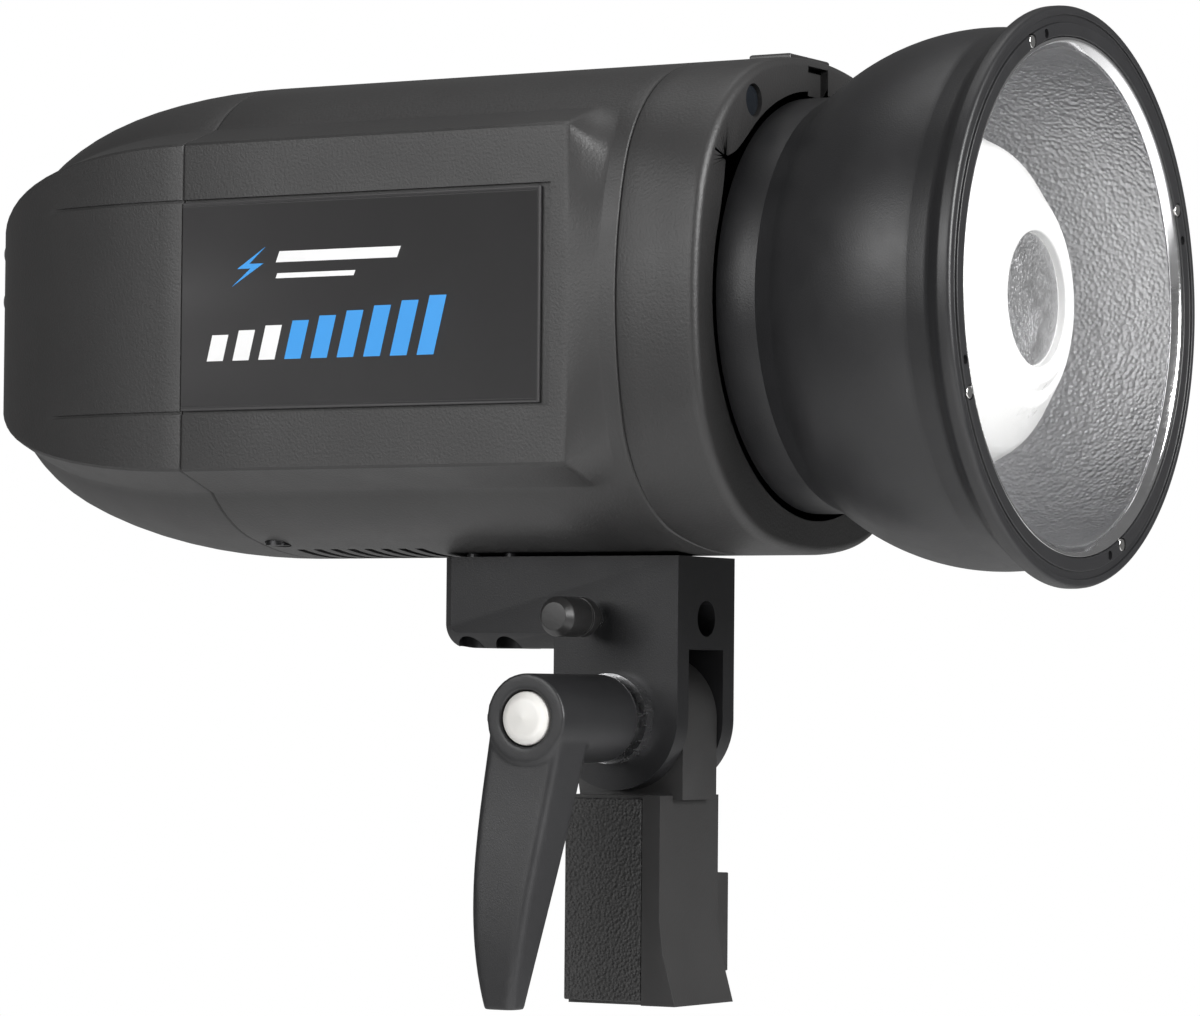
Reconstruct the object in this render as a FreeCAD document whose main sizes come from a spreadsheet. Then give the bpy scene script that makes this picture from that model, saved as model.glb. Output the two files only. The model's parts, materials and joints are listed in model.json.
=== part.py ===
import FreeCAD, Part
import math
import os
import re
import Sketcher

# A battery monolight strobe on its tilting bracket and grip.
# The origin is the mouth of the stand socket, +Z is up, and the light leaves along -Y.
# Lengths are millimetres. Heights named "rise" are measured from the strobe's own axis.

SIZES = {
    # strobe casing
    "seat_gap": 0.3,
    "half_size": 58.5,
    "side_arc": 110,
    "corner_arc": 36,
    "front_corner_arc": 46,
    "wall": 2.2,
    "front_face": -46,
    "front_wall": 3,
    "front_seam": -25,
    "rear_seam": 94,
    "rear_end": 173.5,
    # raised side panels
    "panel_rise": 1.5,
    "panel_half": 39.2,
    "band_half": 44,
    "panel_front": -20.6,
    "panel_roll": 9.5,
    "label_half": 25,
    "label_front": -6,
    "label_depth": 1,
    "label_groove": 0.7,
    "label_front_groove": 2.6,
    # how the rear cover closes: distance before its end and share of the full section
    "tail_one": 53.5,
    "tail_one_scale": 0.963,
    "tail_two": 33.5,
    "tail_two_scale": 0.873,
    "tail_three": 18.5,
    "tail_three_scale": 0.745,
    "tail_four": 8.5,
    "tail_four_scale": 0.595,
    "tail_five": 3.5,
    "tail_five_scale": 0.465,
    "tail_end_scale": 0.28,
    # vents under the casing
    "vent_start": 51,
    "vent_pitch": 4.9,
    "vent_width": 2.4,
    "vent_half": 19,
    "case_screw_reach": 25,
    "case_screw_place": 89,
    # front mount
    "neck_radius": 48.9,
    "neck_wall": 2.3,
    "neck_rear": -39.5,
    "neck_front": -58.5,
    "mouth_gap": 0.9,
    "flange_inner": 43.5,
    "flange_thick": 1.5,
    "claw_inner": 40.6,
    "claw_stem": 42.6,
    "claw_outer": 46,
    "claw_angle": 14,
    "claw_gap": 0.5,
    "claw_thick": 2,
    "twist": 18,
    "ring_rear": -36,
    "ring_front": -39,
    "sensor_side": 31.5,
    "sensor_rise": 45.5,
    "sensor_radius": 3.6,
    "notch_half": 5,
    "notch_low": 48.5,
    "notch_high": 56.4,
    "notch_depth": 2,
    "slider_half": 10,
    "slider_front": -43.8,
    "slider_long": 11,
    "slider_travel": 4,
    "slider_rise": 0.6,
    # reflector
    "bell_start": 50.9,
    "bell_waist": -60.5,
    "bell_end_radius": 62.4,
    "bell_end": -101,
    "bell_arc": 56,
    "bell_wall": 1.4,
    "lip_radius": 66.7,
    "lip_rear": -110.4,
    "mouth": -113.8,
    "lip_thick": 2.6,
    "bright_outer": 59.6,
    "bright_inner": 57,
    "bright_end": -111.2,
    "bowl_rear": -58,
    "bowl_rear_radius": 44,
    "bowl_arc": 80,
    "bowl_wall": 1,
    "magnet_circle": 61.2,
    "magnet_radius": 1.5,
    "magnet_angle": 24,
    "magnet_long": 2.2,
    # glass dome and lamp
    "dome_radius": 40,
    "dome_skirt": 38.3,
    "dome_wall": 2,
    "dome_rear": -40,
    "dome_step": -51,
    "dome_shoulder": -84,
    "dome_shoulder_arc": 18,
    "dome_crown_radius": 24,
    "dome_crown": -101.6,
    "dome_front": -104,
    "eye_ring": 19,
    "eye_radius": 15.6,
    "eye_plate_front": -101.6,
    "eye_plate_rear": -100,
    "eye_ledge": 14.2,
    "dome_base_inner": 30.4,
    "socket_front": -46,
    "tube_ring": 23,
    "tube_radius": 3.5,
    "tube_place": -66,
    "tube_leg_side": 6,
    "led_half": 9,
    "led_front": -49,
    # inner frame and electronics
    "bulkhead_rear": -33,
    "bulkhead_hole": 14,
    "sink_half": 26,
    "sink_base": -28.5,
    "sink_rear": -13,
    "sink_fin": 2,
    "capacitor_radius": 17,
    "capacitor_side": 33.5,
    "capacitor_rise": 19,
    "capacitor_start": -9,
    "capacitor_end": 54,
    "board_side": -12,
    "board_thick": 1.6,
    "board_start": -9,
    "board_end": 88,
    "board_half": 44,
    # battery on the far side
    "battery_front": -7.5,
    "battery_rear": 77.5,
    "battery_half": 33.6,
    "battery_inner": 14.5,
    "battery_corner": 6,
    "battery_wall": 1.5,
    "battery_gap": 0.5,
    "bay_wall": 1.5,
    "bay_reach": 47.5,
    "cell_radius": 9.2,
    "cell_half": 31.8,
    "latch_front": 80.5,
    "latch_long": 6.5,
    "latch_half": 9,
    "latch_travel": 3.5,
    # fan
    "fan_front": 97,
    "fan_rear": 112,
    "fan_half": 40,
    "fan_hole": 37.5,
    "fan_hub": 14,
    "fan_pin": 2,
    "blade_reach": 36.3,
    # rear controls, their faces measured forward from the end of the cover
    "bezel_half": 33,
    "bezel_rise": 30,
    "bezel_corner": 10,
    "bezel_gap": 0.3,
    "bezel_front": 19.5,
    "control_front": 23.5,
    "screen_half": 21,
    "screen_low": 0,
    "screen_high": 25,
    "screen_floor": 13.5,
    "screen_back": 7.1,
    "screen_face": 5.5,
    "dial_radius": 10.8,
    "dial_drop": 15,
    "dial_floor": 11.5,
    "dial_face": 2.9,
    "dial_stem": 3,
    "button_radius": 3.3,
    "button_side": 26,
    "button_low": 6,
    "button_high": 18,
    "button_floor": 10.5,
    "button_face": 3.1,
    "corner_button_radius": 4.2,
    "corner_button_side": 21,
    "corner_button_drop": 15,
    "port_side": 9,
    "port_drop": 27.5,
    # bracket
    "bracket_half": 13.8,
    "bracket_top": 106.2,
    "bracket_base": 84.3,
    "bracket_front": -17,
    "bracket_rear": 49.6,
    "bracket_corner": 6,
    "bracket_bevel": 3.5,
    "ear_radius": 17,
    "slot_half": 8.4,
    "slot_top": 84.1,
    "pivot_height": 67.6,
    "umbrella_height": 91.5,
    "umbrella_radius": 4.3,
    "foot_screw_side": 9.3,
    "foot_screw_near": 31.5,
    "foot_screw_far": 42,
    "foot_screw_head": 3.5,
    "foot_screw_shank": 2,
    "head_gap": 0.25,
    "lock_place": 5.6,
    "lock_screw_radius": 2.5,
    "umbrella_knob_radius": 4.75,
    "umbrella_knob_end": 33.3,
    # running fits
    "shaft_gap": 0.06,
    # clamp
    "bolt_radius": 5,
    "bolt_far_end": 20.5,
    "nut_radius": 9,
    "nut_end": 19,
    "washer_radius": 10.7,
    "washer_end": 17.3,
    "hub_radius": 10.4,
    "hub_start": 20.6,
    "hub_end": 55,
    "hub_bore": 6.8,
    "insert_radius": 6.5,
    "insert_end": 38,
    "lever_screw_end": 43.5,
    "button_bore_start": 46.5,
    "push_button_radius": 6.3,
    "push_button_end": 56.5,
    # grip
    "grip_half": 14.2,
    "ear_gap": 1.1,
    "grip_front": -12.8,
    "grip_toe": -17.2,
    "grip_rear": 13.2,
    "tongue_half": 8.2,
    "tongue_radius": 15.5,
    "pad_thick": 2.4,
    "pad_front": -8,
    "pad_low": 0.8,
    "pad_inset": 0.8,
    "socket_radius": 8.1,
    "socket_depth": 36,
    "bush_radius": 10.5,
    "stand_lock_height": 18,
    "stand_screw_radius": 3,
    "stand_knob_radius": 7,
    "stand_knob_end": 37,
    "wing_half": 12,
}

# Sizes that follow from others, so that neighbouring pieces stay together.
TIES = {
    "axis_height": "(bracket_top + half_size + seat_gap)",
    "panel_reach": "(half_size + panel_rise)",
    "slider_top": "(half_size + slider_rise)",
    "grip_top": "(pivot_height - ear_radius - ear_gap)",
    "pad_high": "(grip_top - pad_inset)",
}

Vector = FreeCAD.Vector
UP = Vector(0, 0, 1)
PLANES = {"X": "YZ_Plane", "Y": "XZ_Plane", "Z": "XY_Plane"}
TURNS = {
    "X": FreeCAD.Rotation(Vector(0, 1, 0), 90),
    "Y": FreeCAD.Rotation(Vector(1, 0, 0), -90),
    "Z": FreeCAD.Rotation(),
}
WORD = re.compile(r"[a-z_]+")

doc = FreeCAD.newDocument("Strobe")
sheet = doc.addObject("Spreadsheet::Sheet", "Sizes")
for row, (size_name, number) in enumerate(SIZES.items(), start=1):
    sheet.set(f"A{row}", size_name)
    sheet.set(f"B{row}", str(number))
    sheet.setAlias(f"B{row}", size_name)
doc.recompute()

nodes = []


# Sizes and expressions

def formula(text):
    """The text with each size's name turned into a reference to its cell."""
    def cell(word):
        name = word.group()
        if name in TIES:
            return formula(TIES[name])
        return f"Sizes.{name}" if name in SIZES else name
    return WORD.sub(cell, str(text))


def value(text):
    return float(sheet.evalExpression(formula(text)))


def rise(text):
    """A height given from the strobe's axis, as a height above the origin."""
    return f"axis_height + ({text})"


def node(item, label):
    """Names a finished sub-part, whose label is its file's name."""
    item.Label = label
    nodes.append(item)
    return item


# Sketches

def sketch_on(body, name, axis, at):
    """An empty sketch square to an axis, at a place along it."""
    sketch = body.newObject("Sketcher::SketchObject", name)
    plane = next(f for f in body.Origin.OriginFeatures if f.Role == PLANES[axis])
    sketch.AttachmentSupport = [(plane, "")]
    sketch.MapMode = "FlatFace"
    sign = "-1" if axis == "Y" else "1"
    sketch.setExpression("AttachmentOffset.Base.z", formula(f"{sign} * ({at})"))
    return sketch


def fix(sketch, kind, text, *where):
    """A dimension whose value follows an expression."""
    place = sketch.addConstraint(Sketcher.Constraint(kind, *where, value(text)))
    sketch.setExpression(f"Constraints[{place}]", formula(text))


def arc_between(start, end, radius):
    """The short arc from start to end; it turns left where the radius is positive."""
    chord = end - start
    half = chord.Length / 2
    left = UP.cross(chord).normalize()
    lift = math.copysign(math.sqrt(max(radius * radius - half * half, 0)), radius)
    centre = (start + end) / 2 + left * lift
    first, last = (start, end) if radius > 0 else (end, start)
    angles = [math.atan2(p.y - centre.y, p.x - centre.x) for p in (first, last)]
    return Part.ArcOfCircle(Part.Circle(centre, UP, abs(radius)), *angles)


def draw(sketch, points):
    """A closed outline. A third entry at a point makes the edge that leaves it an arc."""
    base = sketch.GeometryCount
    spots = [Vector(value(p[0]), value(p[1]), 0) for p in points]
    ends = []
    for index, point in enumerate(points):
        start, end = spots[index], spots[(index + 1) % len(points)]
        if len(point) == 3:
            radius = value(point[2])
            sketch.addGeometry(arc_between(start, end, radius), False)
            ends.append((1, 2) if radius > 0 else (2, 1))
        else:
            sketch.addGeometry(Part.LineSegment(start, end), False)
            ends.append((1, 2))
    for index, point in enumerate(points):
        following = (index + 1) % len(points)
        sketch.addConstraint(Sketcher.Constraint(
            "Coincident", base + index, ends[index][1], base + following, ends[following][0]))
    for index, point in enumerate(points):
        fix(sketch, "DistanceX", point[0], -1, 1, base + index, ends[index][0])
        fix(sketch, "DistanceY", point[1], -1, 1, base + index, ends[index][0])
        if len(point) == 3:
            fix(sketch, "Radius", f"abs({point[2]})", base + index)


def ring(sketch, across, along, radius):
    """A circle in a sketch."""
    index = sketch.GeometryCount
    centre = Vector(value(across), value(along), 0)
    sketch.addGeometry(Part.Circle(centre, UP, value(radius)), False)
    fix(sketch, "DistanceX", across, -1, 1, index, 3)
    fix(sketch, "DistanceY", along, -1, 1, index, 3)
    fix(sketch, "Radius", radius, index)


def rectangle(left, right, low, high):
    return [(left, low), (right, low), (right, high), (left, high)]


def rounded(left, right, low, high, radius):
    """A rectangle whose corners are arcs."""
    return [
        (f"{left} + {radius}", low), (f"{right} - {radius}", low, radius),
        (right, f"{low} + {radius}"), (right, f"{high} - {radius}", radius),
        (f"{right} - {radius}", high), (f"{left} + {radius}", high, radius),
        (left, f"{high} - {radius}"), (left, f"{low} + {radius}", radius),
    ]


# Features of a body

def new_body(name):
    return doc.addObject("PartDesign::Body", name)


def span(body, kind, name, axis, start, end, outlines=(), circles=()):
    """A Pad or a Pocket of the outlines, from start to end along an axis."""
    sketch = sketch_on(body, name, axis, start)
    for outline in outlines:
        draw(sketch, outline)
    for circle in circles:
        ring(sketch, *circle)
    feature = body.newObject(f"PartDesign::{kind}", f"{name}{kind}")
    feature.Profile = sketch
    feature.setExpression("Length", formula(f"{end} - ({start})"))
    feature.Reversed = (axis == "Y") == (kind == "Pad")
    return feature


def turned(name, outline):
    """A body turned about the strobe's axis, its outline given as (place, radius)."""
    body = new_body(name)
    sketch = sketch_on(body, f"{name}Profile", "X", "0")
    draw(sketch, outline)
    feature = body.newObject("PartDesign::Revolution", f"{name}Turn")
    feature.Profile = sketch
    feature.ReferenceAxis = (sketch, ["H_Axis"])
    feature.Angle = 360
    body.setExpression("Placement.Base.z", formula("axis_height"))
    return body


def loft(body, kind, name, sections):
    feature = body.newObject(f"PartDesign::{kind}Loft", name)
    feature.Profile = sections[0]
    feature.Sections = sections[1:]
    return feature


def pick_edges(shape, wanted):
    return [f"Edge{i}" for i, edge in enumerate(shape.Edges, start=1) if wanted(edge)]


def dress(body, kind, name, size, wanted):
    """A Fillet or a Chamfer on the edges that a test picks."""
    doc.recompute()
    base = body.Tip
    feature = body.newObject(f"PartDesign::{kind}", name)
    feature.Base = (base, pick_edges(base.Shape, wanted))
    feature.setExpression("Radius" if kind == "Fillet" else "Size", formula(size))
    return feature


# Primitives and booleans

def rod(name, axis, start, end, across, along, radius):
    """A cylinder from start to end along an axis, at a place across it."""
    item = doc.addObject("Part::Cylinder", name)
    item.Placement = FreeCAD.Placement(Vector(), TURNS[axis])
    item.setExpression("Radius", formula(radius))
    item.setExpression("Height", formula(f"{end} - ({start})"))
    others = [letter for letter in "xyz" if letter != axis.lower()]
    item.setExpression(f"Placement.Base.{axis.lower()}", formula(start))
    item.setExpression(f"Placement.Base.{others[0]}", formula(across))
    item.setExpression(f"Placement.Base.{others[1]}", formula(along))
    return item


def slab(name, x_span, y_span, z_span):
    """A box between two places on each axis."""
    item = doc.addObject("Part::Box", name)
    names = ("Length", "Width", "Height")
    for letter, side, (low, high) in zip("xyz", names, (x_span, y_span, z_span)):
        item.setExpression(side, formula(f"{high} - ({low})"))
        item.setExpression(f"Placement.Base.{letter}", formula(low))
    return item


def fuse(name, *items):
    item = doc.addObject("Part::MultiFuse", name)
    item.Shapes = list(items)
    return item


def cut(name, base, *tools):
    item = doc.addObject("Part::Cut", name)
    item.Base = base
    item.Tool = tools[0] if len(tools) == 1 else fuse(f"{name}Tools", *tools)
    return item


def common(name, base, tool):
    item = doc.addObject("Part::Common", name)
    item.Base = base
    item.Tool = tool
    return item


def group(name, *items):
    """Separate solids that share one node."""
    item = doc.addObject("Part::Compound", name)
    item.Links = list(items)
    return item


def tube(name, axis, start, end, across, along, radius, bore):
    """A cylinder with a bore right through it."""
    outer = rod(f"{name}Outer", axis, start, end, across, along, radius)
    inner = rod(f"{name}Bore", axis, start, end, across, along, bore)
    return cut(name, outer, inner)


# Casing sections

def corner_centre(corner):
    """Where a corner arc is centred, so that it runs into the side arcs with no break."""
    reach = "(side_arc - half_size)"
    return f"((sqrt(2 * (side_arc - {corner})^2 - {reach}^2) - {reach}) / 2)"


def tangent_places(corner):
    """The long and the short coordinate of the points where side and corner arcs meet."""
    centre = corner_centre(corner)
    spread = f"(side_arc / (side_arc - {corner}))"
    reach = "(side_arc - half_size)"
    return f"({spread} * ({centre} + {reach}) - {reach})", f"({spread} * {centre})"


def plain_section(scale, corner):
    """A square section with bowed sides and large corners."""
    far, near = tangent_places(corner)
    places = [(far, f"-{near}"), (far, near), (near, far), (f"-{near}", far),
              (f"-{far}", near), (f"-{far}", f"-{near}"), (f"-{near}", f"-{far}"),
              (near, f"-{far}")]
    arcs = ["side_arc", corner] * 4
    return [(f"{scale} * {x}", rise(f"{scale} * {z}"), f"{scale} * {arc}")
            for (x, z), arc in zip(places, arcs)]


def panelled_section(scale, reach, half, band):
    """The same section with a flat panel and its two facets on each side."""
    far, near = tangent_places("corner_arc")
    centre = corner_centre("corner_arc")
    foot = f"({centre} + sqrt(corner_arc^2 - ({band} - {centre})^2))"
    places = [(reach, f"-{half}"), (reach, half), (foot, band, "corner_arc"),
              (near, far, "side_arc"), (f"-{near}", far, "corner_arc"), (f"-{foot}", band),
              (f"-{reach}", half), (f"-{reach}", f"-{half}"),
              (f"-{foot}", f"-{band}", "corner_arc"), (f"-{near}", f"-{far}", "side_arc"),
              (near, f"-{far}", "corner_arc"), (foot, f"-{band}")]
    outline = []
    for place in places:
        point = (f"{scale} * {place[0]}", rise(f"{scale} * {place[1]}"))
        outline.append(point + tuple(f"{scale} * {arc}" for arc in place[2:]))
    return outline


def section_sketch(body, name, at, outline):
    sketch = sketch_on(body, name, "Y", at)
    draw(sketch, outline)
    return sketch


INNER = "(1 - wall / half_size)"


# Strobe casing

def tail_sections(body, name, share, end):
    """The closing sections of the rear cover, as a share of their full size."""
    stations = [("rear_seam", "1")]
    stations += [(f"rear_end - tail_{step}", f"tail_{step}_scale")
                 for step in ("one", "two", "three", "four", "five")]
    stations.append((end, "tail_end_scale"))
    panel = ("panel_reach", "panel_half", "band_half")
    return [section_sketch(body, f"{name}{index}", place,
                           panelled_section(f"{scale} * {share}", *panel))
            for index, (place, scale) in enumerate(stations)]


def bezel_outline(gap):
    return rounded(f"-(bezel_half + {gap})", f"(bezel_half + {gap})",
                   f"({rise('-bezel_rise')} - {gap})", f"({rise('bezel_rise')} + {gap})",
                   f"(bezel_corner + {gap})")


def make_front_ring():
    body = new_body("FrontRing")
    sections = [
        section_sketch(body, "RingFront", "front_face", plain_section("1", "front_corner_arc")),
        section_sketch(body, "RingRear", "front_seam", plain_section("1", "corner_arc")),
    ]
    loft(body, "Additive", "RingForm", sections)
    span(body, "Pocket", "RingHollow", "Y", "front_face + front_wall", "front_seam",
         [plain_section(INNER, "front_corner_arc")])
    span(body, "Pocket", "RingMouth", "Y", "front_face", "front_face + front_wall",
         circles=[("0", "axis_height", "neck_radius + mouth_gap")])
    span(body, "Pocket", "RingSensor", "Y", "front_face", "front_face + front_wall",
         circles=[("-sensor_side", rise("sensor_rise"), "sensor_radius + head_gap")])
    span(body, "Pocket", "RingNotch", "Y", "front_face", "front_face + notch_depth",
         [rectangle("-notch_half", "notch_half", rise("notch_low"), rise("notch_high"))])
    span(body, "Pocket", "RingSlot", "Z", rise("notch_high - 1"), rise("slider_top + 1"),
         [rectangle("-(slider_half + head_gap)", "slider_half + head_gap",
                    "slider_front - head_gap",
                    "slider_front + slider_long + slider_travel + head_gap")])
    node(body, "front_ring")


def make_lock_slider():
    body = new_body("LockSlider")
    rear = "slider_front + slider_long"
    foot = "half_size - wall + 0.3"
    span(body, "Pad", "SliderPad", "Z", rise(foot), rise("slider_top"),
         [rectangle("-slider_half", "slider_half", "slider_front", rear)])
    span(body, "Pad", "SliderTail", "Z", rise(f"{foot} - 4"), rise(foot),
         [rectangle("-notch_half", "notch_half", "slider_front + 1",
                    "ring_rear - slider_travel - 0.5")])
    dress(body, "Fillet", "SliderSoft", "0.6",
          lambda edge: edge.BoundBox.ZMin > value(rise("slider_top")) - 0.01)
    node(body, "lock_slider")


def make_mid_shell():
    body = new_body("MidShell")
    full_panel = panelled_section("1", "panel_reach", "panel_half", "band_half")
    panel_foot = panelled_section("1", "half_size + 0.3", "(panel_half - 3)", "(band_half - 4)")
    span(body, "Pad", "ShellForm", "Y", "front_seam", "rear_seam",
         [plain_section("1", "corner_arc")])
    roll = [section_sketch(body, "PanelFoot", "panel_front", panel_foot),
            section_sketch(body, "PanelTop", "panel_front + panel_roll", full_panel)]
    loft(body, "Additive", "PanelRoll", roll)
    span(body, "Pad", "PanelFlat", "Y", "panel_front + panel_roll", "rear_seam", [full_panel])
    span(body, "Pocket", "ShellHollow", "Y", "front_seam", "rear_seam",
         [plain_section(INNER, "corner_arc")])
    span(body, "Pad", "BracketSeat", "Z", "bracket_top", "bracket_top + 6",
         [rectangle("-bracket_half", "bracket_half", "bracket_front", "bracket_rear")])
    span(body, "Pocket", "LabelRecess", "X", "-panel_reach", "-panel_reach + label_depth",
         [rectangle("label_front - label_front_groove", "rear_seam",
                    rise("-label_half - label_groove"), rise("label_half + label_groove"))])
    gap = "battery_gap"
    span(body, "Pocket", "BatteryDoorway", "X", "half_size * 0.5", "panel_reach",
         [rounded(f"battery_front - {gap}", f"battery_rear + {gap}",
                  f"{rise('-battery_half')} - {gap}", f"{rise('battery_half')} + {gap}",
                  f"(battery_corner + {gap})")])
    span(body, "Pocket", "LatchRecess", "X", "panel_reach - 2", "panel_reach",
         [rectangle("latch_front - head_gap", "latch_front + latch_long + latch_travel + head_gap",
                    rise("-latch_half - head_gap"), rise("latch_half + head_gap"))])
    vents = []
    for index in range(7):
        front = f"vent_start + {index} * vent_pitch"
        vents.append(rectangle("-vent_half", "vent_half", front, f"{front} + vent_width"))
    span(body, "Pocket", "Vents", "Z", "bracket_top - 2", "bracket_top + 8", vents)
    foot_screws = [(side, place, "foot_screw_shank + shaft_gap")
                   for side in ("-foot_screw_side", "foot_screw_side")
                   for place in ("foot_screw_near", "foot_screw_far")]
    span(body, "Pocket", "FootScrewHoles", "Z", "bracket_top", "bracket_top + 6",
         circles=foot_screws)
    sides = ("-case_screw_reach", "case_screw_reach")
    span(body, "Pocket", "CaseScrewHoles", "Z", "bracket_top", "bracket_top + 9",
         circles=[(side, "case_screw_place", "1.5 + shaft_gap") for side in sides])
    span(body, "Pocket", "CaseScrewWells", "Z", "bracket_top", "bracket_top + 4.2",
         circles=[(side, "case_screw_place", "3 + head_gap") for side in sides])
    node(body, "mid_shell")


def make_rear_cover():
    body = new_body("RearCover")
    loft(body, "Additive", "CoverForm", tail_sections(body, "Cover", "1", "rear_end"))
    loft(body, "Subtractive", "CoverHollow",
         tail_sections(body, "Hollow", INNER, "rear_end - wall / 2"))
    span(body, "Pocket", "CoverWindow", "Y", "rear_end - bezel_front - 6", "rear_end + 2",
         [bezel_outline("bezel_gap")])
    node(body, "rear_cover")


def make_label_plate():
    plate = slab("LabelPlate", ("-panel_reach", "-panel_reach + label_depth"),
                 ("label_front", "rear_seam"), (rise("-label_half"), rise("label_half")))
    node(plate, "label_plate")


def make_case_screws():
    screws = []
    for index, side in enumerate(("-case_screw_reach", "case_screw_reach")):
        head = rod(f"CaseScrewHead{index}", "Z", "bracket_top + 2.8", "bracket_top + 4.2",
                   side, "case_screw_place", "3")
        shank = rod(f"CaseScrewShank{index}", "Z", "bracket_top + 4.2", "bracket_top + 12",
                    side, "case_screw_place", "1.5")
        screws.append(fuse(f"CaseScrew{index}", head, shank))
    node(group("CaseScrews", *screws), "case_screws")


# Front mount

def sector(name, radius_low, radius_high, start, end, angles, width):
    """Blocks of a ring about the strobe's axis, each of a given width in degrees."""
    blocks = []
    for index, angle in enumerate(angles):
        wedge = doc.addObject("Part::Cylinder", f"{name}Wedge{index}")
        wedge.setExpression("Radius", formula(radius_high))
        wedge.setExpression("Height", formula(f"{end} - ({start})"))
        wedge.setExpression("Angle", formula(width))
        turn = FreeCAD.Rotation(Vector(0, 1, 0), angle)
        lay = FreeCAD.Rotation(Vector(1, 0, 0), -90)
        half = FreeCAD.Rotation(UP, -value(width) / 2)
        wedge.Placement = FreeCAD.Placement(Vector(), turn * lay * half)
        wedge.setExpression("Placement.Base.y", formula(start))
        wedge.setExpression("Placement.Base.z", formula("axis_height"))
        blocks.append(wedge)
    core = rod(f"{name}Core", "Y", start, end, "0", "axis_height", radius_low)
    return cut(name, fuse(f"{name}Blocks", *blocks), core)


CLAW_ANGLES = (30, 150, 270)


def make_bayonet_ring():
    plate = turned("BayonetPlate", [
        ("ring_front", "dome_skirt + 0.4"), ("ring_front", "neck_radius + mouth_gap - 0.2"),
        ("ring_rear", "neck_radius + mouth_gap - 0.2"), ("ring_rear", "dome_skirt + 0.4")])
    hook_rear = "neck_rear - flange_thick - claw_gap"
    hook_front = f"{hook_rear} - claw_thick"
    stems = sector("ClawStems", "claw_inner", "claw_stem", hook_front, "ring_front",
                   CLAW_ANGLES, "claw_angle")
    hooks = sector("ClawHooks", "claw_inner", "claw_outer", hook_front, hook_rear,
                   CLAW_ANGLES, "claw_angle")
    node(fuse("BayonetRing", plate, stems, hooks), "bayonet_ring")


def make_bulkhead():
    body = new_body("Bulkhead")
    span(body, "Pad", "BulkheadPlate", "Y", "ring_rear", "bulkhead_rear",
         [plain_section("(half_size - wall - 0.5) / half_size", "front_corner_arc")],
         circles=[("0", "axis_height", "bulkhead_hole")])
    node(body, "bulkhead")


def make_sensor_window():
    window = rod("SensorWindow", "Y", "front_face + 1", "front_face + front_wall + 2",
                 "-sensor_side", rise("sensor_rise"), "sensor_radius")
    node(window, "sensor_window")


# Reflector

def make_reflector_bell():
    rear, front = "neck_rear", "neck_front"
    body = turned("BellForm", [
        (rear, "flange_inner"), (rear, "neck_radius"), (front, "neck_radius"),
        ("bell_waist", "bell_start", "bell_arc"), ("bell_end", "bell_end_radius"),
        ("lip_rear + 4", "bell_end_radius + 0.3"), ("lip_rear", "lip_radius"),
        ("mouth", "lip_radius"), ("mouth", "bright_outer"),
        ("mouth + lip_thick", "bright_outer"),
        ("mouth + lip_thick", "bell_end_radius - bell_wall"),
        ("bell_end", "bell_end_radius - bell_wall", "-(bell_arc - bell_wall)"),
        ("bell_waist", "bell_start - bell_wall"),
        (f"{front} + 1", "neck_radius - neck_wall"),
        (f"{rear} - flange_thick", "neck_radius - neck_wall"),
        (f"{rear} - flange_thick", "flange_inner")])
    gates = sector("BellGates", "flange_inner - 1", "claw_outer + 0.6",
                   f"{rear} - flange_thick - 0.5", f"{rear} + 0.5",
                   [angle + value("twist") for angle in CLAW_ANGLES], "claw_angle + 2")
    pockets = []
    for index in range(4):
        pockets.append(magnet(f"MagnetPocket{index}", index, "0"))
    node(cut("ReflectorBell", body, gates, *pockets), "reflector_bell")


def magnet(name, index, sink):
    """One rim magnet's cylinder, set into the rim's front face."""
    angle = f"(90 * {index} - magnet_angle)"
    return rod(name, "Y", f"mouth + {sink}", "mouth + magnet_long",
               f"magnet_circle * sin({angle})", rise(f"magnet_circle * cos({angle})"),
               "magnet_radius")


def make_rim_magnets():
    magnets = [magnet(f"Magnet{index}", index, "0.1") for index in range(4)]
    node(group("RimMagnets", *magnets), "rim_magnets")


def make_reflector_bowl():
    body = turned("ReflectorBowl", [
        ("mouth + 0.2", "bright_outer"), ("bright_end", "bright_inner", "-bowl_arc"),
        ("bowl_rear", "bowl_rear_radius"), ("bowl_rear + bowl_wall", "bowl_rear_radius"),
        ("bowl_rear + bowl_wall", "neck_radius - neck_wall"),
        ("bowl_rear", "neck_radius - neck_wall"),
        ("bowl_rear", "bowl_rear_radius + bowl_wall", "bowl_arc + bowl_wall"),
        ("bright_end", "bright_inner + bowl_wall"), ("mouth + lip_thick + 0.2", "bright_outer")])
    node(body, "reflector_bowl")


# Dome and lamp

def make_dome():
    step = "dome_skirt - dome_wall"
    body = turned("GlassDome", [
        ("dome_rear", "dome_skirt"), ("dome_step", "dome_skirt"),
        ("dome_step - 2", "dome_radius"), ("dome_shoulder", "dome_radius", "dome_shoulder_arc"),
        ("dome_crown", "dome_crown_radius"), ("dome_front", "eye_ring"),
        ("dome_front", "eye_radius"), ("eye_plate_rear", "eye_radius"),
        ("eye_plate_rear", "eye_ledge"), ("eye_plate_rear + 1.4", "eye_ledge"),
        ("dome_crown + dome_wall", "dome_crown_radius - 1", "-(dome_shoulder_arc - dome_wall)"),
        ("dome_shoulder", "dome_radius - dome_wall"),
        ("dome_step - 1", "dome_radius - dome_wall"), ("dome_step + 1", step),
        ("dome_rear", step)])
    node(body, "glass_dome")
    plate = rod("EyePlate", "Y", "eye_plate_front", "eye_plate_rear", "0", "axis_height",
                "eye_radius - 0.1")
    node(plate, "eye_plate")


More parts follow.
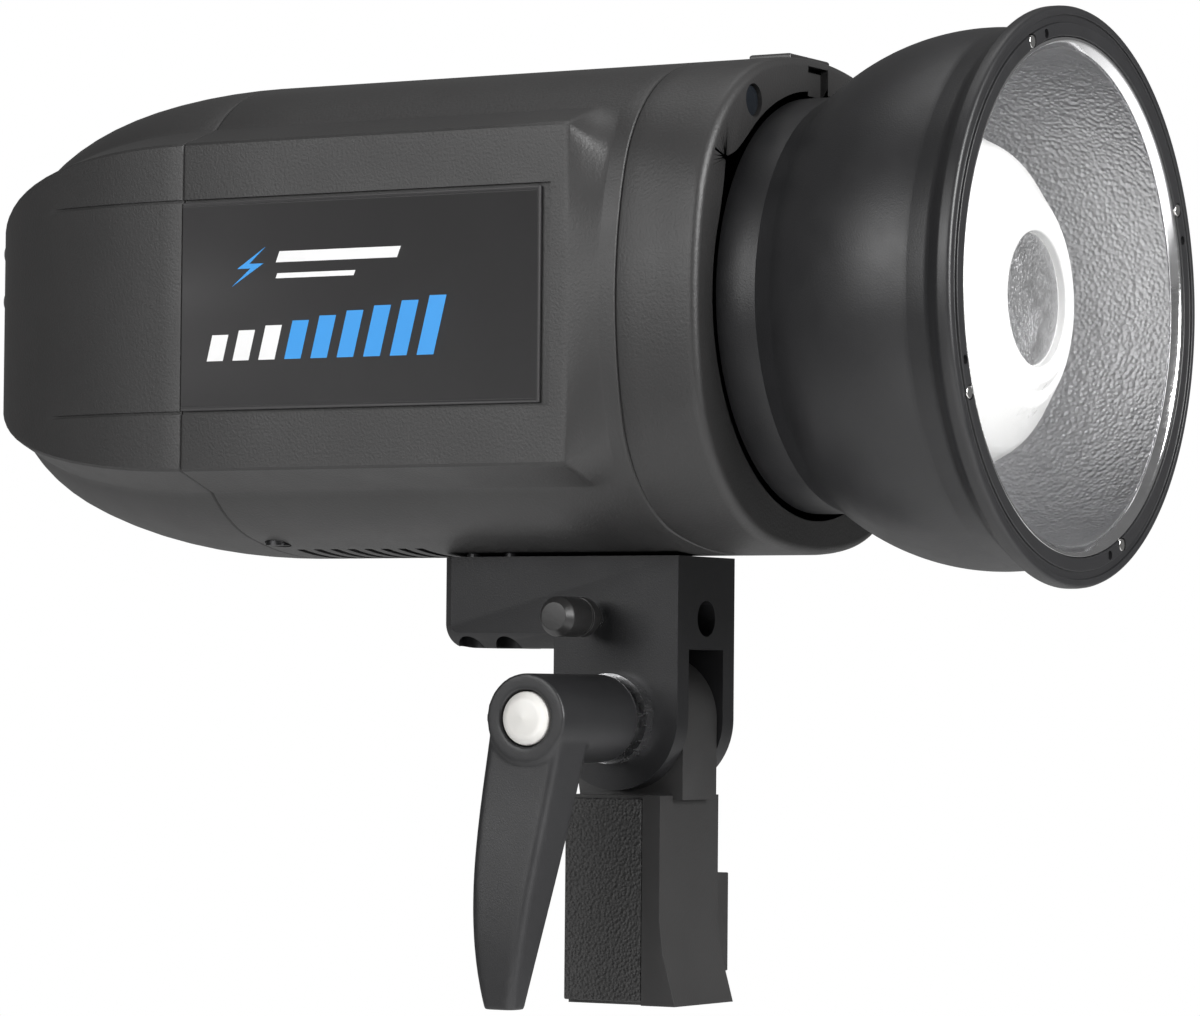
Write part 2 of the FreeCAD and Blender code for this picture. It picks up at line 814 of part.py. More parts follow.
def make_lamp():
    base = turned("DomeBase", [
        ("ring_rear", "dome_base_inner"), ("ring_rear", "dome_skirt - dome_wall - 0.3"),
        ("socket_front", "dome_skirt - dome_wall - 0.3"), ("socket_front", "dome_base_inner")])
    node(base, "dome_base")
    legs = [rod(f"TubeLeg{index}", "Y", "tube_place", "socket_front + 3",
                side, rise("-sqrt(tube_ring^2 - tube_leg_side^2)"), "tube_radius - 0.5")
            for index, side in enumerate(("-tube_leg_side", "tube_leg_side"))]
    hoop = doc.addObject("Part::Torus", "TubeHoop")
    hoop.setExpression("Radius1", formula("tube_ring"))
    hoop.setExpression("Radius2", formula("tube_radius"))
    hoop.Placement = FreeCAD.Placement(Vector(), TURNS["Y"])
    hoop.setExpression("Placement.Base.y", formula("tube_place"))
    hoop.setExpression("Placement.Base.z", formula("axis_height"))
    node(fuse("FlashTube", hoop, *legs), "flash_tube")
    sockets = [rod(f"LegSocket{index}", "Y", "socket_front", "socket_front + 3",
                   side, rise("-sqrt(tube_ring^2 - tube_leg_side^2)"), "tube_radius - 0.5")
               for index, side in enumerate(("-tube_leg_side", "tube_leg_side"))]
    disc = rod("SocketDisc", "Y", "socket_front", "ring_rear", "0", "axis_height",
               "dome_base_inner")
    node(cut("TubeSocket", disc, *sockets), "tube_socket")
    led = slab("ModellingLed", ("-led_half", "led_half"), ("led_front", "socket_front"),
               (rise("-led_half"), rise("led_half")))
    node(led, "modelling_led")


def make_heat_sink():
    body = new_body("HeatSink")
    span(body, "Pad", "SinkBase", "Y", "bulkhead_rear", "sink_base",
         [rectangle("-sink_half", "sink_half", rise("-sink_half"), rise("sink_half"))])
    fins = []
    for index in range(-4, 5):
        middle = f"{index} * (sink_half - sink_fin / 2) / 4"
        fins.append(rectangle(f"{middle} - sink_fin / 2", f"{middle} + sink_fin / 2",
                              rise("-sink_half"), rise("sink_half")))
    span(body, "Pad", "SinkFins", "Y", "sink_base", "sink_rear", fins)
    node(body, "heat_sink")


# Electronics

def make_electronics():
    cans = [rod(f"Capacitor{index}", "Y", "capacitor_start", "capacitor_end",
                "-capacitor_side", rise(place), "capacitor_radius")
            for index, place in enumerate(("-capacitor_rise", "capacitor_rise"))]
    node(group("Capacitors", *cans), "capacitors")
    board = slab("MainBoard", ("board_side", "board_side + board_thick"),
                 ("board_start", "board_end"), (rise("-board_half"), rise("board_half")))
    node(board, "main_board")
    core = slab("Transformer", ("board_side + board_thick", "8"), ("8", "40"),
                (rise("-16"), rise("16")))
    node(core, "transformer")
    control = slab("ControlBoard", ("-bezel_half", "bezel_half"),
                   ("rear_end - control_front", "rear_end - control_front + board_thick"),
                   (rise("-bezel_rise"), rise("bezel_rise")))
    encoder = slab("DialEncoder", ("-6", "6"),
                   ("rear_end - control_front + board_thick",
                    "rear_end - control_front + board_thick + 2"),
                   (rise("-dial_drop - 6"), rise("-dial_drop + 6")))
    node(group("ControlBoardSet", control, encoder), "control_board")


def make_battery_bay():
    """The tray that the battery slides into, open towards the far side."""
    gap = "battery_gap"
    outer = slab("BayOuter", ("battery_inner - bay_wall - 0.5", "bay_reach"),
                 (f"battery_front - {gap} - bay_wall", f"battery_rear + {gap} + bay_wall"),
                 (rise(f"-battery_half - {gap} - bay_wall"),
                  rise(f"battery_half + {gap} + bay_wall")))
    inner = slab("BayInner", ("battery_inner - 0.5", "bay_reach"),
                 (f"battery_front - {gap}", f"battery_rear + {gap}"),
                 (rise(f"-battery_half - {gap}"), rise(f"battery_half + {gap}")))
    node(cut("BatteryBay", outer, inner), "battery_bay")
    contacts = [slab(f"Contact{index}", ("battery_inner - 0.5", "battery_inner - 0.2"),
                     (f"20 + {index} * 9", f"24 + {index} * 9"), (rise("-28"), rise("-20")))
                for index in range(4)]
    node(group("BatteryContacts", *contacts), "battery_contacts")


def make_battery():
    body = new_body("BatteryCase")
    outline = rounded("battery_front", "battery_rear", rise("-battery_half"),
                      rise("battery_half"), "battery_corner")
    hollow = rectangle("battery_front + battery_wall", "battery_rear - battery_wall",
                       rise("-battery_half + battery_wall"), rise("battery_half - battery_wall"))
    span(body, "Pad", "CaseForm", "X", "battery_inner + battery_wall", "panel_reach", [outline])
    span(body, "Pocket", "CaseHollow", "X", "battery_inner + battery_wall",
         "panel_reach - battery_wall * 2", [hollow])
    grips = [rectangle(f"58 + {index} * 4", f"60 + {index} * 4", rise("-22"), rise("22"))
             for index in range(4)]
    span(body, "Pocket", "GripLines", "X", "panel_reach - 1", "panel_reach", grips)
    node(body, "battery_case")
    lid = new_body("BatteryLid")
    span(lid, "Pad", "LidForm", "X", "battery_inner", "battery_inner + battery_wall", [outline])
    node(lid, "battery_lid")
    cells = [rod(f"Cell{column}{line}", "Z", rise("-cell_half"), rise("cell_half"),
                 f"battery_inner + 12 + {line} * 20",
                 f"battery_front + 13.5 + {column} * 19.3", "cell_radius")
             for column in range(4) for line in range(2)]
    node(group("BatteryCells", *cells), "battery_cells")
    latch = new_body("BatteryLatch")
    span(latch, "Pad", "LatchForm", "X", "panel_reach - 1.8", "panel_reach + 0.6",
         [rectangle("latch_front", "latch_front + latch_long",
                    rise("-latch_half"), rise("latch_half"))])
    dress(latch, "Fillet", "LatchSoft", "0.5",
          lambda edge: edge.BoundBox.XMin > value("panel_reach") + 0.59)
    node(latch, "battery_latch")


def make_fan():
    body = new_body("FanFrame")
    square = rectangle("-fan_half", "fan_half", rise("-fan_half"), rise("fan_half"))
    span(body, "Pad", "FrameForm", "Y", "fan_front", "fan_rear", [square],
         circles=[("0", "axis_height", "fan_hole")])
    spokes = [slab(f"FanSpoke{name}", x_span, ("fan_rear - 2.5", "fan_rear"), z_span)
              for name, x_span, z_span in (
                  ("Flat", ("-fan_hole - 1", "fan_hole + 1"), (rise("-2"), rise("2"))),
                  ("Tall", ("-2", "2"), (rise("-fan_hole - 1"), rise("fan_hole + 1"))))]
    boss = rod("FanBoss", "Y", "fan_rear - 2.5", "fan_rear", "0", "axis_height", "fan_hub")
    bearing = rod("FanBearing", "Y", "fan_rear - 2.5", "fan_rear", "0", "axis_height",
                  "fan_pin + shaft_gap")
    node(cut("FanBody", fuse("FanWeb", body, *spokes, boss), bearing), "fan_frame")
    hub = rod("FanHub", "Y", "fan_front + 1.5", "fan_rear - 3.2", "0", "axis_height", "fan_hub")
    pin = rod("FanPin", "Y", "fan_rear - 3.2", "fan_rear - 0.2", "0", "axis_height", "fan_pin")
    blades = []
    for index in range(7):
        blade = doc.addObject("Part::Box", f"FanBlade{index}")
        blade.Length = 12
        blade.setExpression("Width", "1.4")
        blade.setExpression("Height", formula("blade_reach - fan_hub + 1"))
        around = FreeCAD.Rotation(Vector(0, 1, 0), 360 / 7 * index)
        pitch = FreeCAD.Rotation(UP, 38)
        rest = FreeCAD.Placement(Vector(-6, -0.7, value("fan_hub - 1")), FreeCAD.Rotation())
        hub_middle = Vector(0, value("(fan_front + fan_rear) / 2 - 0.9"), value("axis_height"))
        turn = FreeCAD.Placement(hub_middle, around * pitch)
        blade.Placement = turn.multiply(rest)
        blades.append(blade)
    node(fuse("FanRotor", hub, pin, *blades), "fan_rotor")


# Rear controls

BUTTONS = {
    "menu_button_upper_left": ("-button_side", "button_high", "button_radius"),
    "menu_button_lower_left": ("-button_side", "button_low", "button_radius"),
    "menu_button_upper_right": ("button_side", "button_high", "button_radius"),
    "menu_button_lower_right": ("button_side", "button_low", "button_radius"),
    "test_button": ("corner_button_side", "-corner_button_drop", "corner_button_radius"),
    "power_button": ("-corner_button_side", "-corner_button_drop", "corner_button_radius"),
}


def make_bezel():
    form = new_body("BezelForm")
    loft(form, "Additive", "BezelLoft", tail_sections(form, "Bezel", "1", "rear_end"))
    block = new_body("BezelBlock")
    span(block, "Pad", "BezelPad", "Y", "rear_end - bezel_front", "rear_end + 1",
         [bezel_outline("0")])
    cuts = new_body("BezelCuts")
    span(cuts, "Pad", "ScreenCut", "Y", "rear_end - screen_floor", "rear_end + 2",
         [rectangle("-screen_half", "screen_half", rise("screen_low"), rise("screen_high"))])
    tools = [cuts, rod("DialWell", "Y", "rear_end - dial_floor - 1", "rear_end + 2", "0",
                       rise("-dial_drop"), "dial_radius + 0.5"),
             rod("StemHole", "Y", "rear_end - bezel_front - 1", "rear_end", "0", rise("-dial_drop"),
                 "dial_stem + shaft_gap"),
             rod("SyncHole", "Y", "rear_end - bezel_front - 1", "rear_end", "port_side",
                 rise("-port_drop"), "2.9"),
             slab("UsbHole", ("-port_side - 4.7", "-port_side + 4.7"),
                  ("rear_end - bezel_front - 1", "rear_end"), (rise("-port_drop - 1.9"),
                                                    rise("-port_drop + 1.9")))]
    for label, (side, place, radius) in BUTTONS.items():
        tools.append(rod(f"Well_{label}", "Y", "rear_end - button_floor - 1", "rear_end + 2", side,
                         rise(place), f"{radius} + head_gap"))
    crown = common("BezelCrown", form, block)
    node(cut("ControlBezel", crown, *tools), "control_bezel")


def make_controls():
    gap = "head_gap"
    module = slab("ScreenModule", (f"-screen_half + {gap}", f"screen_half - {gap}"),
                  ("rear_end - screen_floor", "rear_end - screen_back"),
                  (rise(f"screen_low + {gap}"), rise(f"screen_high - {gap}")))
    node(module, "screen_module")
    window = slab("ScreenWindow", (f"-screen_half + {gap}", f"screen_half - {gap}"),
                  ("rear_end - screen_back", "rear_end - screen_face"),
                  (rise(f"screen_low + {gap}"), rise(f"screen_high - {gap}")))
    node(window, "screen_window")
    stem = rod("DialStem", "Y", "rear_end - control_front + board_thick + 3",
               "rear_end - dial_face - 3", "0",
               rise("-dial_drop"), "dial_stem")
    node(stem, "dial_stem")
    knob = rod("DialForm", "Y", "rear_end - dial_floor", "rear_end - dial_face", "0",
               rise("-dial_drop"), "dial_radius")
    bore = rod("DialBore", "Y", "rear_end - dial_floor", "rear_end - dial_face - 2.8", "0",
               rise("-dial_drop"), "dial_stem + shaft_gap")
    node(cut("DialKnob", knob, bore), "dial_knob")
    for label, (side, place, radius) in BUTTONS.items():
        cap = rod(f"Cap_{label}", "Y", "rear_end - button_floor", "rear_end - button_face",
                  side, rise(place), radius)
        node(cap, label)
    sleeve = tube("SyncSocket", "Y", "rear_end - bezel_front", "rear_end - bezel_front + 9",
                  "port_side", rise("-port_drop"), "2.85", "1.8")
    shell = slab("UsbShell", ("-port_side - 4.6", "-port_side + 4.6"),
                 ("rear_end - bezel_front", "rear_end - bezel_front + 9"),
                 (rise("-port_drop - 1.8"), rise("-port_drop + 1.8")))
    hollow = slab("UsbHollow", ("-port_side - 4.2", "-port_side + 4.2"),
                  ("rear_end - bezel_front + 2", "rear_end - bezel_front + 9"),
                  (rise("-port_drop - 1.4"), rise("-port_drop + 1.4")))
    node(group("PortSockets", sleeve, cut("UsbSocket", shell, hollow)), "port_sockets")


# Bracket and its fasteners

def make_bracket():
    body = new_body("Bracket")
    outline = [
        ("bracket_front", "bracket_top"), ("bracket_front", "pivot_height", "ear_radius"),
        ("0", "pivot_height - ear_radius", "ear_radius"), ("ear_radius", "pivot_height"),
        ("ear_radius", "bracket_base"), ("bracket_rear - bracket_corner", "bracket_base",
                                         "bracket_corner"),
        ("bracket_rear", "bracket_base + bracket_corner"), ("bracket_rear", "bracket_top")]
    span(body, "Pad", "BracketForm", "X", "-bracket_half", "bracket_half", [outline])

    def foot_edge(edge):
        box = edge.BoundBox
        low = abs(box.ZMax - value("bracket_base")) < 0.01
        return low and box.YLength > 5 and abs(abs(box.XMin) - value("bracket_half")) < 0.01

    dress(body, "Chamfer", "FootBevel", "bracket_bevel", foot_edge)
    span(body, "Pocket", "EarSlot", "Z", "pivot_height - ear_radius - 1", "slot_top",
         [rectangle("-slot_half", "slot_half", "bracket_front - 1", "ear_radius + 1")])
    span(body, "Pocket", "PivotHole", "X", "-bracket_half", "bracket_half",
         circles=[("0", "pivot_height", "bolt_radius + shaft_gap")])
    span(body, "Pocket", "UmbrellaHole", "Y", "bracket_front", "bracket_rear",
         circles=[("0", "umbrella_height", "umbrella_radius")])
    span(body, "Pocket", "LockHole", "X", "-bracket_half", "0",
         circles=[("lock_place", "umbrella_height", "lock_screw_radius + shaft_gap")])
    places = [(side, place) for side in ("-foot_screw_side", "foot_screw_side")
              for place in ("foot_screw_near", "foot_screw_far")]
    span(body, "Pocket", "ScrewWells", "Z", "bracket_base", "bracket_base + 7",
         circles=[(side, place, "foot_screw_head + head_gap") for side, place in places])
    span(body, "Pocket", "ScrewHoles", "Z", "bracket_base", "bracket_top",
         circles=[(side, place, "foot_screw_shank + shaft_gap") for side, place in places])
    node(body, "bracket")
    screws = []
    for index, (side, place) in enumerate(places):
        head = rod(f"FootHead{index}", "Z", "bracket_base + 3.4", "bracket_base + 7",
                   side, place, "foot_screw_head")
        shank = rod(f"FootShank{index}", "Z", "bracket_base + 7", "bracket_top + 5.5",
                    side, place, "foot_screw_shank")
        hexagon = doc.addObject("Part::Prism", f"FootHex{index}")
        hexagon.Polygon = 6
        hexagon.Circumradius = 1.7
        hexagon.Height = 2
        for letter, text in (("x", side), ("y", place), ("z", "bracket_base + 3.4")):
            hexagon.setExpression(f"Placement.Base.{letter}", formula(text))
        screws.append(cut(f"FootScrew{index}", fuse(f"FootBolt{index}", head, shank), hexagon))
    node(group("FootScrews", *screws), "foot_screws")


def make_umbrella_lock():
    screw = rod("UmbrellaScrew", "X", "-bracket_half - 4", "-umbrella_radius - 0.4",
                "lock_place", "umbrella_height", "lock_screw_radius")
    node(screw, "umbrella_screw")
    collar = rod("KnobCollar", "X", "-bracket_half - 3.4", "-bracket_half - 0.5",
                 "lock_place", "umbrella_height", "umbrella_knob_radius - 0.9")
    grip = rod("KnobGrip", "X", "-umbrella_knob_end", "-bracket_half - 3",
               "lock_place", "umbrella_height", "umbrella_knob_radius")
    bore = rod("KnobBore", "X", "-bracket_half - 4", "-bracket_half",
               "lock_place", "umbrella_height", "lock_screw_radius")
    knob = cut("UmbrellaKnob", fuse("KnobForm", collar, grip), bore)
    node(knob, "umbrella_knob")


# Clamp

def make_clamp():
    bolt = rod("ClampBolt", "X", "-insert_end", "bolt_far_end", "0", "pivot_height",
               "bolt_radius")
    node(bolt, "clamp_bolt")
    nut = tube("ClampNut", "X", "bracket_half", "nut_end", "0", "pivot_height", "nut_radius",
               "bolt_radius + shaft_gap")
    node(nut, "clamp_nut")
    washer = tube("ClampWasher", "X", "-washer_end", "-bracket_half", "0", "pivot_height",
                  "washer_radius", "bolt_radius + shaft_gap")
    node(washer, "clamp_washer")
    insert = tube("LeverInsert", "X", "-insert_end", "-washer_end - 0.4", "0", "pivot_height",
                  "insert_radius", "bolt_radius")
    node(insert, "lever_insert")
    screw = rod("LeverScrew", "X", "-lever_screw_end", "-insert_end", "0", "pivot_height", "5.6")
    node(screw, "lever_screw")


LEVER_ARM = [
    # height, middle along Y, half width along Y, inner face, outer face
    ("pivot_height", "0", "10", "-40", "-54.6"),
    ("44", "3.9", "9.2", "-41.5", "-55"),
    ("20", "6.4", "7.2", "-45", "-56.2"),
    ("0.4", "6.8", "4.2", "-48.5", "-55"),
]


def make_lever():
    arm = new_body("LeverArm")
    sections = []
    for index, (height, middle, half, inner, outer) in enumerate(LEVER_ARM):
        sketch = sketch_on(arm, f"Arm{index}", "Z", height)
        draw(sketch, rounded(outer, inner, f"{middle} - {half}", f"{middle} + {half}", "2"))
        sections.append(sketch)
    loft(arm, "Additive", "ArmForm", sections)
    hub = rod("LeverHub", "X", "-hub_end", "-hub_start", "0", "pivot_height", "hub_radius")
    bore = rod("HubBore", "X", "-button_bore_start - 1", "-hub_start", "0", "pivot_height",
               "hub_bore")
    well = rod("ButtonWell", "X", "-hub_end - 1", "-button_bore_start", "0", "pivot_height",
               "push_button_radius + 0.3")
    node(cut("Lever", fuse("LeverForm", arm, hub), bore, well), "clamp_lever")
    cap = rod("ButtonBody", "X", "-hub_end", "-button_bore_start - 1.2", "0", "pivot_height",
              "push_button_radius")
    crown = rod("ButtonCrown", "X", "-push_button_end", "-hub_end", "0", "pivot_height",
                "push_button_radius - 1")
    node(fuse("LeverButton", cap, crown), "lever_button")


# Grip

def make_grip():
    body = new_body("Grip")
    front = [("grip_toe", "0"), ("grip_rear", "0"), ("grip_rear", "grip_top"),
             ("grip_front", "grip_top"), ("grip_front", "20"), ("grip_front - 1", "12")]
    span(body, "Pad", "GripForm", "X", "-grip_half", "grip_half", [front])
    tongue = [("-tongue_radius", "grip_top - 1"), ("tongue_radius - 3", "grip_top - 1"),
              ("tongue_radius", "pivot_height", "tongue_radius"),
              ("0", "pivot_height + tongue_radius", "tongue_radius"),
              ("-tongue_radius", "pivot_height")]
    span(body, "Pad", "TongueForm", "X", "-tongue_half", "tongue_half", [tongue])
    side = rectangle("pad_front", "grip_rear", "0", "grip_top")
    span(body, "Pocket", "PadBedNear", "X", "-grip_half", "-grip_half + pad_thick", [side])
    span(body, "Pocket", "PadBedFar", "X", "grip_half - pad_thick", "grip_half", [side])
    span(body, "Pocket", "GripPivot", "X", "-tongue_half", "tongue_half",
         circles=[("0", "pivot_height", "bolt_radius + shaft_gap")])
    span(body, "Pocket", "SocketHole", "Z", "0", "socket_depth",
         circles=[("0", "0", "bush_radius")])
    span(body, "Pocket", "StandLockHole", "X", "0", "grip_half",
         circles=[("0", "stand_lock_height", "stand_screw_radius + shaft_gap")])
    node(body, "grip_core")

    bush = tube("BushForm", "Z", "0", "socket_depth", "0", "0", "bush_radius", "socket_radius")
    opening = rod("BushOpening", "X", "0", "bush_radius + 1", "0", "stand_lock_height",
                  "stand_screw_radius + shaft_gap")
    node(cut("SocketBush", bush, opening), "socket_bush")

    for label, low, high in (("grip_pad_near", "-grip_half", "-grip_half + pad_thick"),
                             ("grip_pad_far", "grip_half - pad_thick", "grip_half")):
        pad = new_body(label)
        outline = rectangle("pad_front + 0.2", "grip_rear", "pad_low", "pad_high")
        circles = [("0", "stand_lock_height", "stand_screw_radius + 0.6")]
        span(pad, "Pad", f"{label}Form", "X", low, high, [outline],
             circles if label == "grip_pad_far" else ())
        node(pad, label)


def make_stand_lock():
    screw = rod("StandScrew", "X", "socket_radius + 0.5", "grip_half + 12", "0",
                "stand_lock_height", "stand_screw_radius")
    node(screw, "stand_screw")
    boss = rod("StandBoss", "X", "grip_half + 0.6", "stand_knob_end - 12", "0",
               "stand_lock_height", "stand_knob_radius")
    bore = rod("StandBore", "X", "grip_half", "grip_half + 12", "0", "stand_lock_height",
               "stand_screw_radius")
    wings = slab("StandWings", ("stand_knob_end - 16", "stand_knob_end"), ("-3.2", "3.2"),
                 ("stand_lock_height - wing_half", "stand_lock_height + wing_half"))
    node(cut("StandKnob", fuse("StandForm", boss, wings), bore), "stand_knob")


for make in (make_front_ring, make_lock_slider, make_mid_shell, make_rear_cover,
             make_label_plate, make_case_screws, make_bayonet_ring, make_bulkhead,
             make_sensor_window, make_reflector_bell, make_rim_magnets, make_reflector_bowl,
             make_dome, make_lamp, make_heat_sink, make_electronics, make_battery_bay,
             make_battery, make_fan, make_bezel, make_controls, make_bracket,
             make_umbrella_lock, make_clamp, make_lever, make_grip, make_stand_lock):
    make()
doc.recompute()

faults = [f"{item.Name}: {state}" for item in doc.Objects for state in item.State
          if state in ("Invalid", "Error")]
faults += [f"{item.Label}: bad shape" for item in nodes
           if item.Shape.isNull() or not item.Shape.isValid() or not item.Shape.Solids]
if faults:
    raise RuntimeError("; ".join(faults))

os.makedirs("parts", exist_ok=True)
for item in nodes:
    item.Shape.exportStep(f"parts/{item.Label}.step")
print(len(nodes), "nodes")
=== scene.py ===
import json
import math

import bmesh
import bpy
from bpy.props import FloatVectorProperty, IntProperty, PointerProperty
from mathutils import Matrix, Vector


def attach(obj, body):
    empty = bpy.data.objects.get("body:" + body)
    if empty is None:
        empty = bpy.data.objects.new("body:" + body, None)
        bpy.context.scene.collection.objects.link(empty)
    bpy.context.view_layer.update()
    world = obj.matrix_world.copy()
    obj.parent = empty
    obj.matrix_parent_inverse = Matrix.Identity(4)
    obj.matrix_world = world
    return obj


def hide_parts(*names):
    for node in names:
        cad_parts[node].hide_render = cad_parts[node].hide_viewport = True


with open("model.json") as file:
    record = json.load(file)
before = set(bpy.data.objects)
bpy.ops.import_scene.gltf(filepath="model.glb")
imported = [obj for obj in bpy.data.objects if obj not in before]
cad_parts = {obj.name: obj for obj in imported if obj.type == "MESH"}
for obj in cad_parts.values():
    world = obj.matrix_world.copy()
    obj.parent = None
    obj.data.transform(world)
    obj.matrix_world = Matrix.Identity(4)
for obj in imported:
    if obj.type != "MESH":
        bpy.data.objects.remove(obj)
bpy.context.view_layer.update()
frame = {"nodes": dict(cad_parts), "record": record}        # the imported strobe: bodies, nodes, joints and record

bl_info = {
    "name": "Monolight strobe",
    "version": (1, 0, 0),
    "blender": (4, 5, 0),
    "location": "View3D > Sidebar > Strobe",
    "description": "Builds the looks of a battery monolight strobe around its packed frame",
    "category": "Object",
}

MM = 0.001
AXIS_HEIGHT = 165        # millimetres from the stand socket up to the light's axis
TILT_HEIGHT = 67.6       # and up to the bolt that the head tilts on
AXIS = Vector((0, 0, AXIS_HEIGHT * MM))
NODES = frame["nodes"]


# ---------------------------------------------------------------- sizes and colours

class StrobeSizes(bpy.types.PropertyGroup):
    turned_steps: IntProperty(
        name="Turned steps", description="Facets around each large turned piece",
        default=192, min=24)


class StrobeColours(bpy.types.PropertyGroup):
    casing: FloatVectorProperty(
        name="Casing", description="Moulded casing plastic", subtype="COLOR",
        default=(0.022, 0.0215, 0.0215), min=0, max=1)
    panel: FloatVectorProperty(
        name="Panel", description="Label plate sheet", subtype="COLOR",
        default=(0.033, 0.032, 0.033), min=0, max=1)
    coat: FloatVectorProperty(
        name="Coat", description="Black coat on the reflector, bracket and lever",
        subtype="COLOR", default=(0.013, 0.013, 0.014), min=0, max=1)
    accent: FloatVectorProperty(
        name="Accent", description="Blue of the printed stripes", subtype="COLOR",
        default=(0.02, 0.27, 0.68), min=0, max=1)


# ---------------------------------------------------------------- materials

class Finish:
    """A node material that is built up in steps and read in object coordinates."""

    def __init__(self, name, colour, roughness, metallic=0.0):
        self.material = bpy.data.materials.new(name)
        self.material.use_nodes = True
        self.tree = self.material.node_tree
        self.shader = self.tree.nodes["Principled BSDF"]
        self.colour = tuple(colour) + (1.0,)
        self.roughness = roughness
        self.set("Base Color", self.colour)
        self.set("Roughness", roughness)
        self.set("Metallic", metallic)
        self.place = self.tree.nodes.new("ShaderNodeTexCoord").outputs["Object"]
        self.normal = None

    def set(self, socket, value):
        self.shader.inputs[socket].default_value = value
        return self

    def link(self, source, target):
        self.tree.links.new(source, target)

    def noise(self, scale, detail=4.0, stretch=(1, 1, 1)):
        mapping = self.tree.nodes.new("ShaderNodeMapping")
        mapping.inputs["Scale"].default_value = stretch
        self.link(self.place, mapping.inputs["Vector"])
        node = self.tree.nodes.new("ShaderNodeTexNoise")
        node.inputs["Scale"].default_value = scale
        node.inputs["Detail"].default_value = detail
        self.link(mapping.outputs["Vector"], node.inputs["Vector"])
        return node.outputs["Fac"]

    def cells(self, scale, smooth=0.6):
        node = self.tree.nodes.new("ShaderNodeTexVoronoi")
        node.feature = "SMOOTH_F1"
        node.inputs["Scale"].default_value = scale
        node.inputs["Smoothness"].default_value = smooth
        self.link(self.place, node.inputs["Vector"])
        return node.outputs["Distance"]

    def ramp(self, source, low, high, start=0.3, end=0.7):
        node = self.tree.nodes.new("ShaderNodeMapRange")
        node.inputs["From Min"].default_value = start
        node.inputs["From Max"].default_value = end
        node.inputs["To Min"].default_value = low
        node.inputs["To Max"].default_value = high
        self.link(source, node.inputs["Value"])
        return node.outputs["Result"]

    def bump(self, source, depth, strength=1.0):
        node = self.tree.nodes.new("ShaderNodeBump")
        node.inputs["Strength"].default_value = strength
        node.inputs["Distance"].default_value = depth
        self.link(source, node.inputs["Height"])
        if self.normal:
            self.link(self.normal, node.inputs["Normal"])
        self.normal = node.outputs["Normal"]
        self.link(self.normal, self.shader.inputs["Normal"])
        return self

    def vary_roughness(self, scale, spread, stretch=(1, 1, 1)):
        source = self.noise(scale, 5.0, stretch)
        low = max(0.02, self.roughness - spread)
        self.link(self.ramp(source, low, min(1.0, self.roughness + spread)),
                  self.shader.inputs["Roughness"])
        return self

    def vary_colour(self, scale, spread):
        """Lighter and darker patches of the finish's own colour."""
        mix = self.tree.nodes.new("ShaderNodeMix")
        mix.data_type = "RGBA"
        mix.inputs["A"].default_value = tuple(c * (1 - spread) for c in self.colour[:3]) + (1,)
        mix.inputs["B"].default_value = tuple(
            min(1, c * (1 + spread)) for c in self.colour[:3]) + (1,)
        self.link(self.ramp(self.noise(scale), 0, 1), mix.inputs["Factor"])
        self.link(mix.outputs["Result"], self.shader.inputs["Base Color"])
        return self


def moulded(name, colour, roughness=0.5, grain=1600, depth=0.00006):
    """Injection moulded plastic with a spark-eroded grain."""
    finish = Finish(name, colour, roughness)
    finish.vary_colour(45, 0.025).vary_roughness(70, 0.03)
    return finish.bump(finish.noise(grain, 3.0), depth)


def powder_coat(name, colour, roughness=0.42, grain=900, depth=0.00014):
    """A sprayed and baked coat with orange peel."""
    finish = Finish(name, colour, roughness)
    finish.vary_colour(60, 0.03).vary_roughness(120, 0.04)
    finish.bump(finish.cells(grain, 0.9), depth)
    return finish.bump(finish.noise(grain * 2.5, 2.0), depth * 0.4)


def machined(name, colour, roughness=0.3, stretch=(1, 1, 3), grain=400, depth=0.000002):
    """Bare or plated metal with tool marks."""
    finish = Finish(name, colour, roughness, 1.0)
    finish.vary_colour(80, 0.06).vary_roughness(grain, 0.04, stretch)
    finish.bump(finish.noise(grain, 3.0, stretch), depth)
    return finish


def anodised(name, colour, roughness=0.4):
    """Blasted aluminium under a black anodised layer."""
    finish = Finish(name, colour, roughness, 0.35)
    finish.vary_colour(50, 0.03).vary_roughness(90, 0.04)
    return finish.bump(finish.noise(2600, 2.0), 0.00003)


def hammered(name, colour, roughness, scale, depth):
    """Bright aluminium with small hammered dimples."""
    finish = Finish(name, colour, roughness, 1.0)
    finish.vary_colour(200, 0.05).vary_roughness(400, 0.05)
    return finish.bump(finish.cells(scale, 0.45), depth)


def glassy(name, colour, roughness, transmission):
    finish = Finish(name, colour, roughness)
    finish.set("Transmission Weight", transmission).set("IOR", 1.46)
    finish.vary_roughness(150, 0.02).vary_colour(30, 0.02)
    return finish


def rubber(name, colour, scale, depth, roughness=0.62):
    """Rubber or leather-grained elastomer."""
    finish = Finish(name, colour, roughness)
    finish.vary_colour(60, 0.04).vary_roughness(200, 0.05)
    return finish.bump(finish.cells(scale, 0.35), depth)


